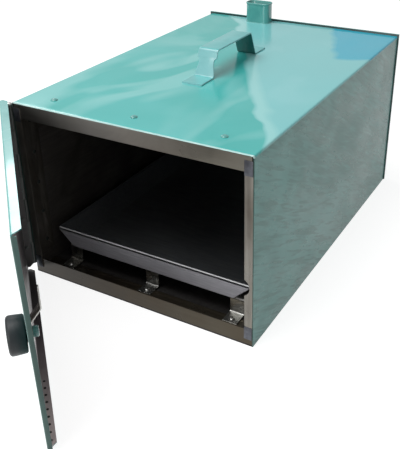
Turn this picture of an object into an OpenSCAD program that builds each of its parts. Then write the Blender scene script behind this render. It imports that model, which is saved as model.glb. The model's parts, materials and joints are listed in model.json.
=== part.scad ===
// Electric mini oven: a casing folded from painted sheet, a bare steel front frame,
// a door hung on its left side, a loose tray on brackets and one tubular element.
// The origin is the middle of the casing's underside. The door is at the front, -Y.
// Sizes inside the modules are measured from the casing's front left bottom corner.

/* [Casing] */
// Width of the casing over its side sheets
body_w = 320; // [280:1:420]
// Length of the casing, from the face of the front frame to the rear edge
body_d = 470; // [400:1:600]
// Height of the casing over its top sheet
body_h = 238; // [200:1:320]
// Thickness of the painted casing sheet
skin_t = 1.2; // [0.8:0.1:2]
// Outside radius of the folds between the top and the sides
fold_r = 2.6; // [2.2:0.2:6]
// Thickness of the floor sheet
floor_t = 2; // [1.5:0.1:3]
// How far left of the middle the handle, the rivets and the brackets sit
mid_shift = 4; // [0:0.5:10]

/* [Front frame] */
// Thickness of the bare frame angles
frame_t = 1.5; // [1:0.1:2.5]
// Height of the top rail's face
top_rail_h = 18; // [12:0.5:30]
// Height of the bottom rail's face
bottom_rail_h = 20; // [12:0.5:26]
// Width of each stile's face
stile_w = 10; // [8:0.5:16]
// How far the angles reach back into the casing
frame_depth = 34; // [30:1:50]
// How far each corner tab laps over its rail
tab_lap = 13; // [8:0.5:16]
// Thickness of the corner tabs
tab_t = 0.8; // [0.5:0.1:1.2]
// Height of the middle of the right stile's notch above the underside
notch_z = 78; // [60:1:100]
// Radius of the notch
notch_r = 12; // [8:0.5:16]
// Depth of the notch into the stile's face
notch_depth = 6.3; // [3:0.1:7.5]
// Distance of the row of rivets and screws behind the front
row_y = 28; // [22:1:30]
// Spacing of the rivets in the top sheet
rivet_pitch = 115; // [80:1:130]

/* [Rear panel] */
// How far the rear panel stands above the top sheet
lip_top = 3; // [2:0.5:10]
// How far the rear panel stands out beyond each side sheet
lip_side = 1.6; // [0.5:0.1:4]
// Width of the folded hem round the rear panel
hem_w = 8; // [5:0.5:14]

/* [Carrying handle] */
// Width of the handle strap
handle_w = 28; // [20:1:40]
// Thickness of the handle strap
handle_t = 2; // [1.5:0.1:3]
// Height of the grip's upper face above the casing
handle_h = 34.5; // [26:0.5:50]
// Length of the flat grip
grip_len = 90; // [70:1:130]
// How far each leg leans out from the grip to its foot
leg_lean = 13.5; // [8:0.5:20]
// Length of each foot
foot_len = 30; // [20:1:40]
// Depth of the waist notches in the front leg
waist_cut = 3; // [1:0.5:4]
// How far behind the middle of the casing the handle sits
handle_back = 2; // [0:1:20]
// How far right of the rivets' middle the handle sits
handle_aside = 1.5; // [0:0.5:8]

/* [Vent pipe] */
// Width of the oval vent pipe
vent_w = 40; // [30:1:60]
// Depth of the oval vent pipe
vent_d = 22; // [18:1:34]
// Corner radius of the vent pipe
vent_r = 8; // [5:0.5:8.5]
// Wall of the vent pipe
vent_t = 1.2; // [0.8:0.1:2]
// Height of the vent pipe above the top sheet
vent_h = 31; // [20:1:60]
// Distance from the left side to the middle of the vent pipe
vent_x = 96; // [50:1:160]
// Gap between the vent pipe and the rear edge of the casing
vent_rear = 1.5; // [1:0.5:40]

/* [Tray and brackets] */
// Width of the tray over its rim
tray_w = 284; // [240:1:286]
// Gap between the tray's rear wall and the rear panel
tray_rear_gap = 33.5; // [25:0.5:80]
// Height of the tray
tray_h = 24.5; // [16:0.5:40]
// How far each side wall leans out
tray_lean = 22; // [10:1:30]
// Thickness of the tray sheet
tray_t = 1; // [0.8:0.1:1.5]
// Height of the folded rim
rim_h = 4; // [2:0.5:8]
// Distance of the tray's front wall behind the front
tray_y = 36.5; // [30:0.5:45]
// How far left of the brackets' middle the tray stands
tray_left = 1.5; // [0:0.5:2]
// How far the tray slides forward while its rear end stays on the brackets
tray_travel = 43; // [30:1:45]
// Running gap between the tray and what carries it
slide_gap = 0.3; // [0.2:0.1:0.6]
// Width of the bracket strips
bracket_w = 19; // [12:1:24]
// Thickness of the bracket strips
bracket_t = 1.5; // [1:0.1:2]
// Height of the brackets over what they stand on
bracket_h = 24; // [20:0.5:36]
// Spacing of the brackets across the oven
bracket_pitch = 122; // [90:1:128]
// Length of each bracket's foot
bracket_foot = 21; // [18:1:26]
// Length of each bracket's upper arm
bracket_arm = 18; // [10:1:30]

/* [Door] */
// Angle by which the door stands open
door_open = 43.5; // [0:0.5:120]
// Depth of the door pan
pan_d = 9.5; // [9:0.5:16]
// How far the door stands out past the casing's left side
door_over = 0.5; // [0.4:0.1:2]
// How far the door's free edge stops short of the casing's right side
door_short = 6; // [2:0.5:8]
// Height of the door's lower edge above the underside
door_low = 3.5; // [1:0.5:5]
// How far the door stands above the top
door_rise = 4; // [0:0.5:6]
// Gap between the closed door and the front frame
door_gap = 1.2; // [1:0.1:3]
// Depth of the fold along the door's free edge
edge_fold = 5; // [3:0.5:8]
// Length of the mitre at the free end of the top and bottom folds
mitre = 8.5; // [6:0.5:16]
// Size of the relief at the hinge end of the top and bottom folds
relief = 5; // [2:0.5:6]

/* [Hinge] */
// Radius of the hinge pin
pin_r = 2; // [1.5:0.1:2.5]
// Running clearance round the hinge pin
pin_fit = 0.05; // [0.03:0.01:0.1]
// Radius of the hinge knuckles
knuckle_r = 3.5; // [3.2:0.1:4]
// Thickness of the hinge leaves
leaf_t = 1.2; // [0.8:0.1:1.5]
// Distance from the bottom of the casing to the hinge
hinge_low = 13; // [6:1:20]
// Distance from the top of the casing to the hinge
hinge_top = 4; // [3:1:20]
// Number of knuckles, with the first and the last on the casing
knuckles = 7; // [3:2:11]
// Length of the leaf along the casing's side
leaf_len = 30; // [24:1:30]
// Distance from the side sheet to the hinge axis
hinge_out = 4.2; // [4.1:0.1:5]
// Distance of the hinge axis behind the front
hinge_back = 0; // [0:0.5:6]
// Gap between neighbouring knuckles
knuckle_gap = 0.3; // [0.2:0.1:0.6]

/* [Latch] */
// Distance of the knob's axis from the door's free edge
knob_inset = 47; // [44:1:52]
// Height of the knob's axis above the underside
knob_z = 109; // [98:1:140]
// Radius of the knob
knob_r = 19; // [14:0.5:24]
// Thickness of the knob
knob_t = 17; // [10:0.5:24]
// Length of the neck between the knob and the door
neck_l = 2.5; // [2:0.5:8]
// Radius of the latch spindle
spindle_r = 3; // [2.5:0.1:4]
// Running clearance round the spindle
spindle_fit = 0.08; // [0.03:0.01:0.1]
// Reach of the latch tongue from the spindle
tongue_reach = 47; // [44:1:49]
// Length of the tongue's tail behind the spindle
tongue_tail = 17; // [10:1:24]
// Width of the latch tongue
tongue_w = 12; // [10:0.5:16]
// Thickness of the latch tongue
tongue_t = 1.5; // [1:0.1:2]
// Gap between the latch tongue and the back of the stile
tongue_gap = 1; // [0.5:0.1:2]
// Radius of the round nut on the spindle
cap_r = 5.5; // [5:0.1:7]

/* [Heating element] */
// Radius of the element's sheath
sheath_r = 4; // [3:0.25:5]
// Spacing of the element's two legs
leg_pitch = 84; // [60:1:110]
// Height of the element's axis above the underside
element_z = 13; // [11:0.5:14]
// Distance of the element's bend behind the front
element_y = 130; // [110:1:200]
// Distance of the element's support behind the front
support_y = 240; // [220:1:300]
// Length of the support's foot
support_foot = 14; // [10:1:20]
// Radius of the threaded bushes
bush_r = 6; // [5.5:0.25:7]
// Width across the flats of the bushes and nuts
bush_flats = 17; // [15:0.5:19]

/* [Terminal housing] */
// Width of the terminal cover
cover_w = 150; // [130:1:180]
// Height of the terminal cover
cover_h = 56; // [50:1:80]
// Depth of the terminal cover
cover_d = 42; // [38:1:60]
// Width of the cover's fixing flanges
cover_flange = 12; // [10:0.5:16]
// Height of the cover's lower edge above the underside
cover_low = 3; // [1:0.5:10]
// Distance of the power inlet's middle from the cover's middle
inlet_shift = 38; // [30:1:40]

/* [Hidden] */
$fn = 64;

teal = [0.42, 0.74, 0.73];
dull_teal = [0.30, 0.58, 0.56];
bare_steel = [0.47, 0.45, 0.41];
bright_steel = [0.72, 0.74, 0.76];
dark_steel = [0.20, 0.20, 0.20];
black = [0.12, 0.13, 0.14];
ceramic = [0.92, 0.90, 0.85];
brass = [0.76, 0.62, 0.32];
copper = [0.72, 0.45, 0.30];

// Fasteners and fits shared by several pieces
fit = 0.05;
through = 2;
rivet_r = 2;
rivet_head_r = 4.3;
rivet_head_h = 1.9;
small_rivet_r = 1.5;
small_head_r = 3;
small_head_h = 1.1;
small_screw_h = 1.6;
small_screw_out = 3;
tail_h = 0.8;
tail_extra = 1;
screw_r = 2;
screw_head_r = 3.8;
screw_head_h = 2;
blind_end = 0.3;
strip_bend = 3;

// Casing, frame and tray, worked out from the sizes above
mid_x = body_w / 2 - mid_shift;
inner_top = body_h - skin_t;
inner_right = body_w - skin_t;
rear_face = body_d + skin_t;
rail_top_z = inner_top - top_rail_h;
rail_low_z = floor_t + bottom_rail_h;
rail_bed_z = floor_t + frame_t;
tab_root = 4;
rivet_xs = [for (i = [-1 : 1]) mid_x + i * rivet_pitch];
bracket_xs = [for (i = [-1 : 1]) mid_x + i * bracket_pitch];
bracket_toe = 14;
front_leg_y = row_y + bracket_toe;
rear_hold = 16;
tray_len = body_d - tray_rear_gap - tray_y;
rear_leg_y = tray_y + tray_len - tray_travel - rear_hold;
rear_rivet_y = rear_leg_y + bracket_foot * 0.6;
bracket_top = rail_bed_z + bracket_h;
tray_x = mid_x - tray_left - tray_w / 2;
tray_z = bracket_top + slide_gap;
vent_y = body_d - vent_rear - vent_d / 2;
vent_bead = 0.8;
vent_bead_h = 3;
handle_mid = body_d / 2 + handle_back;
handle_x = mid_x + handle_aside;
handle_bend = 4;
waist_z = body_h + handle_h * 0.58;
waist_out = 1;

// Door, hinges and latch, on the closed door
door_left = -door_over;
door_right = body_w - door_short;
door_top = body_h + door_rise;
door_face = -door_gap - pan_d;
door_inner = door_face + skin_t;
hinge_h = body_h - hinge_low - hinge_top;
rivet_end = 26;
hinge_rivets = 5;
hinge_rivet_pitch = (hinge_h - 2 * rivet_end) / (hinge_rivets - 1);
hinge_rivet_zs = [for (i = [0 : hinge_rivets - 1]) hinge_low + rivet_end + i * hinge_rivet_pitch];
casing_rivet_y = hinge_back + leaf_len * 0.72;
door_rivet_y = door_face + pan_d * 0.45;
fold_cut = pan_d / 2;
knuckle_h = (hinge_h - (knuckles - 1) * knuckle_gap) / knuckles;
knuckle_pitch = knuckle_h + knuckle_gap;
casing_knuckle_zs = [for (i = [0 : 2 : knuckles - 1]) hinge_low + i * knuckle_pitch];
door_knuckle_zs = [for (i = [1 : 2 : knuckles - 1]) hinge_low + i * knuckle_pitch];
leaf_gap = 0.4;
pin_head_h = 1.6;
knob_x = door_right - knob_inset;
knob_gap = 0.3;
knob_edge = 2.5;
knob_cap = 4;
neck_r = 8;
washer_t = 0.6;
washer_r = 6.5;
tongue_y = door_inner + washer_t + 0.3;
tongue_tip_y = frame_t + tongue_gap;
tongue_knee = 14;
cap_y = tongue_y + tongue_t + 0.1;
cap_len = 5.4;
cap_edge = 1;

// Element, terminal cover and power inlet
leg_xs = [mid_x - leg_pitch / 2, mid_x + leg_pitch / 2];
bush_hex = 4;
bush_out = 10;
nut_t = 5;
sheath_end = rear_face + bush_out + 1;
pin_depth = 6;
insulator_len = 8;
insulator_r = sheath_r + 0.6;
terminal_r = 1.6;
terminal_out = 12;
terminal_end = sheath_end + insulator_len + terminal_out;
support_t = 1.2;
support_margin = 12;
cover_x = mid_x - cover_w / 2;
cover_back = rear_face + cover_d;
cover_screw_xs = [cover_x - cover_flange / 2, cover_x + cover_w + cover_flange / 2];
cover_screw_inset = 10;
cover_screw_zs = [cover_low + cover_screw_inset, cover_low + cover_h - cover_screw_inset];
inlet_x = mid_x - inlet_shift;
inlet_z = cover_low + cover_h * 0.56;
inlet_w = 27;
inlet_h = 20;
inlet_depth = 20;
inlet_plate_w = 50;
inlet_plate_h = 24;
inlet_plate_t = 3;
inlet_wall = 1.75;
inlet_recess = 15;
inlet_screw_pitch = 40;
contact_w = 4;
contact_t = 2;
contact_tail = 6;
contact_places = [[-7, -2], [0, 2], [7, -2]];
contact_end = cover_back - inlet_depth - contact_tail;
earth_x = mid_x;
earth_inset = 16;
earth_z = cover_low + cover_h - earth_inset;
earth_out = 10;
earth_head = 2.4;
earth_nut_t = 3.2;
earth_flats = 7;
wire_r = 1.2;
wire_gap = 0.1;
wire_sides = 8;
wire_steps = 20;
pin_hold = 7;
near_pull = 11;
near_drop = 7;
far_pull = 15;
far_drop = 15;
earth_pull = 13;
earth_drop = 10;

function unit(v) = v / norm(v);
function left_of(v) = [-v[1], v[0]];
function turned(v, a) = [v[0] * cos(a) - v[1] * sin(a), v[0] * sin(a) + v[1] * cos(a)];
function reversed(list) = [for (i = [len(list) - 1 : -1 : 0]) list[i]];

// Points round one bend of a strip, at a distance off to the left of its middle line
function bend(a, b, c, r, off, steps = 6) =
    let (u = unit(b - a), v = unit(c - b), s = sign(cross(u, v)), angle = acos(u * v))
    let (start = b - u * r * tan(angle / 2), centre = start + s * r * left_of(u))
    [for (i = [0 : steps])
        centre - s * (r - s * off) * turned(left_of(u), s * angle * i / steps)];

// One long side of a bent strip
function strip_side(pts, r, off) =
    let (n = len(pts))
    concat([pts[0] + off * left_of(unit(pts[1] - pts[0]))],
           [for (i = [1 : n - 2]) each bend(pts[i - 1], pts[i], pts[i + 1], r, off)],
           [pts[n - 1] + off * left_of(unit(pts[n - 1] - pts[n - 2]))]);

// Outline of a strip of thickness t whose middle line follows pts, with rounded bends
function strip(pts, t, r) =
    concat(strip_side(pts, r, t / 2), reversed(strip_side(pts, r, -t / 2)));

// Moves what is drawn from the casing's front left bottom corner into the part's frame
module in_box() translate([-body_w / 2, -body_d / 2, 0]) children();

// Turns what is drawn on the closed door to the angle at which the door stands
module on_door() {
    in_box()
        translate([-hinge_out, hinge_back, 0])
            rotate([0, 0, -door_open])
                translate([hinge_out, -hinge_back, 0])
                    children();
}

// Extrudes an outline drawn in X and Z along Y
module along_y(len) translate([0, len, 0]) rotate([90, 0, 0]) linear_extrude(len) children();

// Extrudes an outline drawn in Y and Z along X
module along_x(len) rotate([90, 0, 90]) linear_extrude(len) children();

// A rectangle whose two upper corners are round
module folded_outline(w, h, r) {
    square([w, h - r]);
    translate([r, 0]) square([w - 2 * r, h]);
    for (x = [r, w - r]) translate([x, h - r]) circle(r);
}

// A rectangle with four round corners, about its middle
module oval_outline(w, d, r) {
    square([w - 2 * r, d], center = true);
    square([w, d - 2 * r], center = true);
    for (x = [-1, 1], y = [-1, 1]) translate([x * (w / 2 - r), y * (d / 2 - r)]) circle(r);
}

module hexagon(flats, h) cylinder(r = flats / sqrt(3), h = h, $fn = 6);

// Turns what stands on Z = 0 to point to the rear, to the front or to the left
module to_rear() rotate([-90, 0, 0]) children();
module to_front() rotate([90, 0, 0]) children();
module to_left() rotate([0, -90, 0]) children();

module dome(head_r, head_h) {
    dome_r = (head_r * head_r + head_h * head_h) / (2 * head_h);
    intersection() {
        translate([0, 0, head_h - dome_r]) sphere(dome_r);
        cylinder(r = head_r, h = head_h);
    }
}

// A rivet whose head stands on Z = 0, closed below sheets of thickness grip
module rivet(r, head_r, head_h, grip) {
    dome(head_r, head_h);
    translate([0, 0, -grip]) cylinder(r = r, h = grip);
    translate([0, 0, -grip - tail_h]) cylinder(r = r + tail_extra, h = tail_h);
}

// A rivet whose shank ends inside the last sheet
module blind_rivet(r, head_r, head_h, len) {
    dome(head_r, head_h);
    translate([0, 0, -len]) cylinder(r = r, h = len);
}

// A pan head screw whose head stands on Z = 0, with a cross recess
module screw(r, head_r, head_h, len) {
    rim_h = head_h * 0.55;
    slot_w = head_r * 0.22;
    difference() {
        union() {
            cylinder(r = head_r, h = rim_h);
            translate([0, 0, rim_h]) cylinder(r1 = head_r, r2 = head_r * 0.7, h = head_h - rim_h);
        }
        for (a = [0, 90])
            rotate([0, 0, a])
                translate([-head_r / 2, -slot_w / 2, head_h * 0.45])
                    cube([head_r, slot_w, head_h]);
    }
    translate([0, 0, -len]) cylinder(r = r, h = len);
}

// Places of the fasteners
module at_rivet_row(z) for (x = rivet_xs) translate([x, row_y, z]) children();
module at_bracket_row(z) for (x = bracket_xs) translate([x, row_y, z]) children();
module at_rear_feet(z) for (x = bracket_xs) translate([x, rear_rivet_y, z]) children();
module at_support_feet(z)
    for (x = leg_xs) translate([x, support_y + support_foot * 0.6, z]) children();
module at_leg_ends(y) for (x = leg_xs) translate([x, y, element_z]) children();
module at_cover_screws(y)
    for (x = cover_screw_xs, z = cover_screw_zs) translate([x, y, z]) children();
module at_inlet_screws(y)
    for (side = [-1, 1]) translate([inlet_x + side * inlet_screw_pitch / 2, y, inlet_z]) children();
module at_hinge_rivets(x, y)
    for (z = hinge_rivet_zs) translate([x, y, z]) children();

module casing_wrap() {
    color(teal) in_box() difference() {
        along_y(body_d) difference() {
            folded_outline(body_w, body_h, fold_r);
            translate([skin_t, -through])
                folded_outline(body_w - 2 * skin_t, inner_top + through, fold_r - skin_t);
        }
        at_rivet_row(inner_top - through) cylinder(r = rivet_r + fit, h = skin_t + 2 * through);
        translate([vent_x, vent_y, inner_top - through])
            linear_extrude(skin_t + 2 * through)
                oval_outline(vent_w + 2 * fit, vent_d + 2 * fit, vent_r + fit);
        at_hinge_rivets(skin_t + through, casing_rivet_y)
            to_left() cylinder(r = small_rivet_r + fit, h = skin_t + 2 * through);
    }
}

// Its front edge shows as a dark line under the bottom rail
module floor_panel() {
    color(dark_steel) in_box() difference() {
        translate([skin_t, 0, 0]) cube([body_w - 2 * skin_t, body_d, floor_t]);
        at_bracket_row(blind_end) cylinder(r = screw_r + fit, h = floor_t);
        at_rear_feet(blind_end) cylinder(r = small_rivet_r + fit, h = floor_t);
        at_support_feet(blind_end) cylinder(r = small_rivet_r + fit, h = floor_t);
    }
}

// Its hemmed edge stands out past the top and the sides of the casing
module rear_panel() {
    panel_w = body_w + 2 * lip_side;
    panel_h = body_h + lip_top;
    color(teal) in_box() difference() {
        translate([-lip_side, body_d, 0]) cube([panel_w, 2 * skin_t, panel_h]);
        translate([hem_w - lip_side, rear_face, -through])
            cube([panel_w - 2 * hem_w, skin_t + through, panel_h - hem_w + through]);
        at_leg_ends(body_d - through)
            to_rear() cylinder(r = bush_r + fit, h = skin_t + 2 * through);
        at_cover_screws(body_d - through)
            to_rear() cylinder(r = small_rivet_r + fit, h = skin_t + 2 * through);
        translate([earth_x, body_d - through, earth_z])
            to_rear() cylinder(r = screw_r + fit, h = skin_t + 2 * through);
    }
}

// The rails are angles: a face at the front and a flange along the sheet behind it
module frame_top_rail() {
    color(bare_steel) in_box() difference() {
        translate([fold_r, 0, 0]) union() {
            translate([0, 0, rail_top_z]) cube([body_w - 2 * fold_r, frame_t, top_rail_h]);
            translate([0, 0, inner_top - frame_t]) cube([body_w - 2 * fold_r, frame_depth, frame_t]);
        }
        at_rivet_row(inner_top - frame_t - through)
            cylinder(r = rivet_r + fit, h = frame_t + 2 * through);
    }
}

module frame_bottom_rail() {
    color(bare_steel) in_box() difference() {
        translate([skin_t, 0, floor_t]) union() {
            cube([body_w - 2 * skin_t, frame_t, bottom_rail_h]);
            cube([body_w - 2 * skin_t, frame_depth, frame_t]);
        }
        at_bracket_row(floor_t - through) cylinder(r = screw_r + fit, h = frame_t + 2 * through);
    }
}

// A stile against the left side, with tabs that lap over the rails
module stile() {
    color(bare_steel) {
        translate([skin_t, 0, rail_low_z]) cube([stile_w, frame_t, rail_top_z - rail_low_z]);
        translate([skin_t, 0, rail_low_z]) cube([frame_t, frame_depth, rail_top_z - rail_low_z]);
        for (z = [rail_low_z, rail_top_z - tab_root])
            translate([skin_t, -tab_t, z]) cube([stile_w, frame_t + tab_t, tab_root]);
        for (z = [rail_low_z - tab_lap, rail_top_z])
            translate([skin_t, -tab_t, z]) cube([stile_w, tab_t, tab_lap]);
    }
}

module frame_left_stile() {
    in_box() difference() {
        stile();
        at_hinge_rivets(skin_t + frame_t + through, casing_rivet_y)
            to_left() cylinder(r = small_rivet_r + fit, h = frame_t + 2 * through);
    }
}

module frame_right_stile() {
    in_box() difference() {
        translate([body_w, 0, 0]) mirror([1, 0, 0]) stile();
        translate([inner_right - stile_w + notch_depth - notch_r, -through, notch_z])
            to_rear() cylinder(r = notch_r, h = frame_t + 2 * through);
    }
}

module top_rivets() {
    color(dull_teal) in_box() at_rivet_row(body_h)
        rivet(rivet_r, rivet_head_r, rivet_head_h, skin_t + frame_t);
}

// A strap bent into a bridge, with a narrow waist in its front leg
module carry_handle() {
    grip_z = body_h + handle_h - handle_t / 2;
    foot_z = body_h + handle_t / 2;
    reach = grip_len / 2 + leg_lean;
    color(teal) in_box() difference() {
        translate([handle_x - handle_w / 2, handle_mid, 0])
            along_x(handle_w)
                polygon(strip([[-reach - foot_len, foot_z], [-reach, foot_z],
                               [-grip_len / 2, grip_z], [grip_len / 2, grip_z],
                               [reach, foot_z], [reach + foot_len, foot_z]],
                              handle_t, handle_bend));
        for (side = [-1, 1])
            translate([handle_x + side * (handle_w / 2 + waist_out), handle_mid - grip_len / 2, waist_z])
                to_front() cylinder(r = waist_cut + waist_out, h = 2 * leg_lean);
    }
}

module vent_pipe() {
    pipe_low = inner_top - 1;
    pipe_len = body_h + vent_h - pipe_low;
    color(dull_teal) in_box() translate([vent_x, vent_y, pipe_low]) difference() {
        union() {
            linear_extrude(pipe_len) oval_outline(vent_w, vent_d, vent_r);
            translate([0, 0, pipe_len - vent_bead_h])
                linear_extrude(vent_bead_h)
                    oval_outline(vent_w + 2 * vent_bead, vent_d + 2 * vent_bead, vent_r + vent_bead);
        }
        translate([0, 0, -through])
            linear_extrude(pipe_len + 2 * through)
                oval_outline(vent_w - 2 * vent_t, vent_d - 2 * vent_t, vent_r - vent_t);
    }
}

// A Z bracket with its foot to the front, standing on Z = 0 about X = 0
module bracket(height) {
    translate([-bracket_w / 2, 0, 0])
        along_x(bracket_w)
            polygon(strip([[-bracket_foot, bracket_t / 2], [0, bracket_t / 2],
                           [0, height - bracket_t / 2], [bracket_arm, height - bracket_t / 2]],
                          bracket_t, strip_bend));
}

module front_brackets() {
    color(bright_steel) in_box() difference() {
        for (x = bracket_xs) translate([x, front_leg_y, rail_bed_z]) bracket(bracket_h);
        at_bracket_row(rail_bed_z - through) cylinder(r = screw_r + fit, h = bracket_t + 2 * through);
    }
}

module rear_brackets() {
    color(bright_steel) in_box() difference() {
        for (x = bracket_xs)
            translate([x, rear_leg_y, floor_t]) mirror([0, 1, 0]) bracket(bracket_h + frame_t);
        at_rear_feet(floor_t - through)
            cylinder(r = small_rivet_r + fit, h = bracket_t + 2 * through);
    }
}

module bracket_screws() {
    head_z = rail_bed_z + bracket_t;
    color(bright_steel) in_box() at_bracket_row(head_z)
        screw(screw_r, screw_head_r, screw_head_h, head_z - 2 * blind_end);
}

module bracket_rivets() {
    head_z = floor_t + bracket_t;
    color(bright_steel) in_box() at_rear_feet(head_z)
        blind_rivet(small_rivet_r, small_head_r, small_head_h, head_z - 2 * blind_end);
}

// A trough of sheet with sides that lean out, closed by a wall at each end
module tray_pan() {
    half = tray_t / 2;
    end_outline = [[0, tray_h], [0, tray_h - rim_h], [tray_lean, 0], [tray_w - tray_lean, 0],
                   [tray_w, tray_h - rim_h], [tray_w, tray_h]];
    color(bright_steel) in_box() translate([tray_x, tray_y, tray_z]) {
        along_y(tray_len)
            polygon(strip([[half, tray_h], [half, tray_h - rim_h], [tray_lean, half],
                           [tray_w - tray_lean, half], [tray_w - half, tray_h - rim_h],
                           [tray_w - half, tray_h]], tray_t, tray_t));
        for (y = [0, tray_len - tray_t])
            translate([0, y, 0]) along_y(tray_t) polygon(end_outline);
        for (y = [0, tray_len - 2.2 * tray_t])
            translate([half, y, tray_h - rim_h]) cube([tray_w - tray_t, 2.2 * tray_t, rim_h]);
    }
}

// The pan's upper or lower fold, mitred at the free end and relieved at the hinge
module pan_fold() {
    linear_extrude(skin_t)
        polygon([[door_left, door_face], [door_right, door_face],
                 [door_right - mitre, -door_gap], [door_left + relief, -door_gap],
                 [door_left, -door_gap - relief]]);
}

// The pan's fold on the hinge side, with the inner corners of its ends cut off
module hinge_fold() {
    low = door_low + relief;
    high = door_top - relief;
    translate([door_left, 0, 0])
        along_x(skin_t)
            polygon([[door_face, low], [-door_gap - fold_cut, low], [-door_gap, low + fold_cut],
                     [-door_gap, high - fold_cut], [-door_gap - fold_cut, high],
                     [door_face, high]]);
}

module door_pan() {
    color(teal) on_door() difference() {
        union() {
            translate([door_left, door_face, door_low])
                cube([door_right - door_left, skin_t, door_top - door_low]);
            translate([0, 0, door_low]) pan_fold();
            translate([0, 0, door_top - skin_t]) pan_fold();
            hinge_fold();
            translate([door_right - skin_t, door_face, door_low])
                cube([skin_t, edge_fold, door_top - door_low]);
        }
        translate([knob_x, door_face - through, knob_z])
            to_rear() cylinder(r = spindle_r + spindle_fit, h = skin_t + 2 * through);
        at_hinge_rivets(door_left + skin_t + through, door_rivet_y)
            to_left() cylinder(r = small_rivet_r + fit, h = skin_t + 2 * through);
    }
}

module hinge_bore() {
    translate([-hinge_out, hinge_back, hinge_low - through])
        cylinder(r = pin_r + pin_fit, h = hinge_h + 2 * through);
}

// The leaf on the casing, which carries every other knuckle
module hinge_casing_leaf() {
    plate_y = hinge_back + knuckle_r + leaf_gap;
    color(bright_steel) in_box() difference() {
        union() {
            translate([-leaf_t, plate_y, hinge_low])
                cube([leaf_t, hinge_back + leaf_len - plate_y, hinge_h]);
            for (z = casing_knuckle_zs) {
                translate([-leaf_t, hinge_back, z]) cube([leaf_t, plate_y - hinge_back, knuckle_h]);
                translate([-hinge_out, hinge_back, z]) cylinder(r = knuckle_r, h = knuckle_h);
            }
        }
        hinge_bore();
        at_hinge_rivets(through, casing_rivet_y)
            to_left() cylinder(r = small_rivet_r + fit, h = leaf_t + 2 * through);
    }
}

// The leaf on the door, with the knuckles between
module hinge_door_leaf() {
    plate_end = hinge_back - knuckle_r - leaf_gap;
    plate_y = door_face + 0.6;
    color(bright_steel) on_door() difference() {
        union() {
            translate([door_left - leaf_t, plate_y, hinge_low])
                cube([leaf_t, plate_end - plate_y, hinge_h]);
            for (z = door_knuckle_zs) {
                translate([door_left - leaf_t, plate_end, z])
                    cube([leaf_t, hinge_back - plate_end, knuckle_h]);
                translate([-hinge_out, hinge_back, z]) cylinder(r = knuckle_r, h = knuckle_h);
            }
        }
        hinge_bore();
        at_hinge_rivets(door_left + through, door_rivet_y)
            to_left() cylinder(r = small_rivet_r + fit, h = leaf_t + 2 * through);
    }
}

module hinge_pin() {
    len = hinge_h + 2 * knuckle_gap;
    color(bright_steel) in_box() translate([-hinge_out, hinge_back, hinge_low - knuckle_gap]) {
        cylinder(r = pin_r, h = len);
        translate([0, 0, len]) cylinder(r = pin_r + 1, h = pin_head_h);
        translate([0, 0, -tail_h]) cylinder(r = pin_r + tail_extra, h = tail_h);
    }
}

module hinge_casing_rivets() {
    color(bright_steel) in_box() at_hinge_rivets(-leaf_t, casing_rivet_y)
        to_left() rivet(small_rivet_r, small_head_r, small_head_h, leaf_t + skin_t + frame_t);
}

module hinge_door_rivets() {
    color(bright_steel) on_door() at_hinge_rivets(door_left - leaf_t, door_rivet_y)
        to_left() rivet(small_rivet_r, small_head_r, small_head_h, leaf_t + skin_t);
}

// A turned knob on a neck, bored for the spindle
module latch_knob() {
    top = neck_l + knob_t;
    color(black) on_door() translate([knob_x, door_face, knob_z]) to_front() difference() {
        rotate_extrude() {
            translate([0, knob_gap]) square([neck_r, top - knob_gap]);
            translate([0, neck_l]) square([knob_r, knob_t - knob_edge]);
            translate([0, top - 2 * knob_edge]) square([knob_r - knob_edge, 2 * knob_edge]);
            intersection() {
                translate([knob_r - knob_edge, top - knob_edge]) circle(knob_edge);
                square([knob_r, top]);
            }
        }
        cylinder(r = spindle_r + fit, h = top - knob_cap);
    }
}

module latch_spindle() {
    inside = neck_l + knob_t - knob_cap - 0.5;
    len = cap_y + cap_len - 1 - door_face + inside;
    color(bright_steel) on_door() translate([knob_x, door_face - inside, knob_z])
        to_rear() cylinder(r = spindle_r, h = len);
}

module latch_washer() {
    color(bright_steel) on_door() translate([knob_x, door_inner + 0.1, knob_z])
        to_rear() difference() {
            cylinder(r = washer_r, h = washer_t);
            translate([0, 0, -through]) cylinder(r = spindle_r + fit, h = washer_t + 2 * through);
        }
}

// A strip that stands up at rest and is cranked inwards to reach behind the stile
module latch_tongue() {
    base = tongue_y + tongue_t / 2;
    tip = tongue_tip_y + tongue_t / 2;
    color(bright_steel) on_door() difference() {
        translate([knob_x - tongue_w / 2, 0, knob_z])
            along_x(tongue_w)
                polygon(strip([[base, -tongue_tail], [base, tongue_knee],
                               [tip, 2 * tongue_knee], [tip, tongue_reach]],
                              tongue_t, strip_bend));
        translate([knob_x, base - tongue_t, knob_z])
            to_rear() cylinder(r = spindle_r + fit, h = 2 * tongue_t);
    }
}

// A round painted nut that clamps the tongue
module latch_cap_nut() {
    color(teal) on_door() translate([knob_x, cap_y, knob_z]) to_rear() difference() {
        union() {
            cylinder(r = cap_r, h = cap_len - cap_edge);
            translate([0, 0, cap_len - cap_edge])
                cylinder(r1 = cap_r, r2 = cap_r - cap_edge, h = cap_edge);
        }
        translate([0, 0, -1]) cylinder(r = spindle_r + fit, h = cap_len);
    }
}

// A hairpin of steel tube, with its open end through the rear panel
module element_sheath() {
    turn_r = leg_pitch / 2;
    straight = sheath_end - element_y - turn_r;
    color(dark_steel) in_box() difference() {
        translate([mid_x, element_y + turn_r, element_z]) {
            rotate([0, 0, 180]) rotate_extrude(angle = 180) translate([turn_r, 0]) circle(sheath_r);
            for (x = [-turn_r, turn_r])
                translate([x, 0, 0]) to_rear() cylinder(r = sheath_r, h = straight);
        }
        at_leg_ends(sheath_end - pin_depth) to_rear() cylinder(r = terminal_r + fit, h = pin_depth + 1);
    }
}

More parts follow.
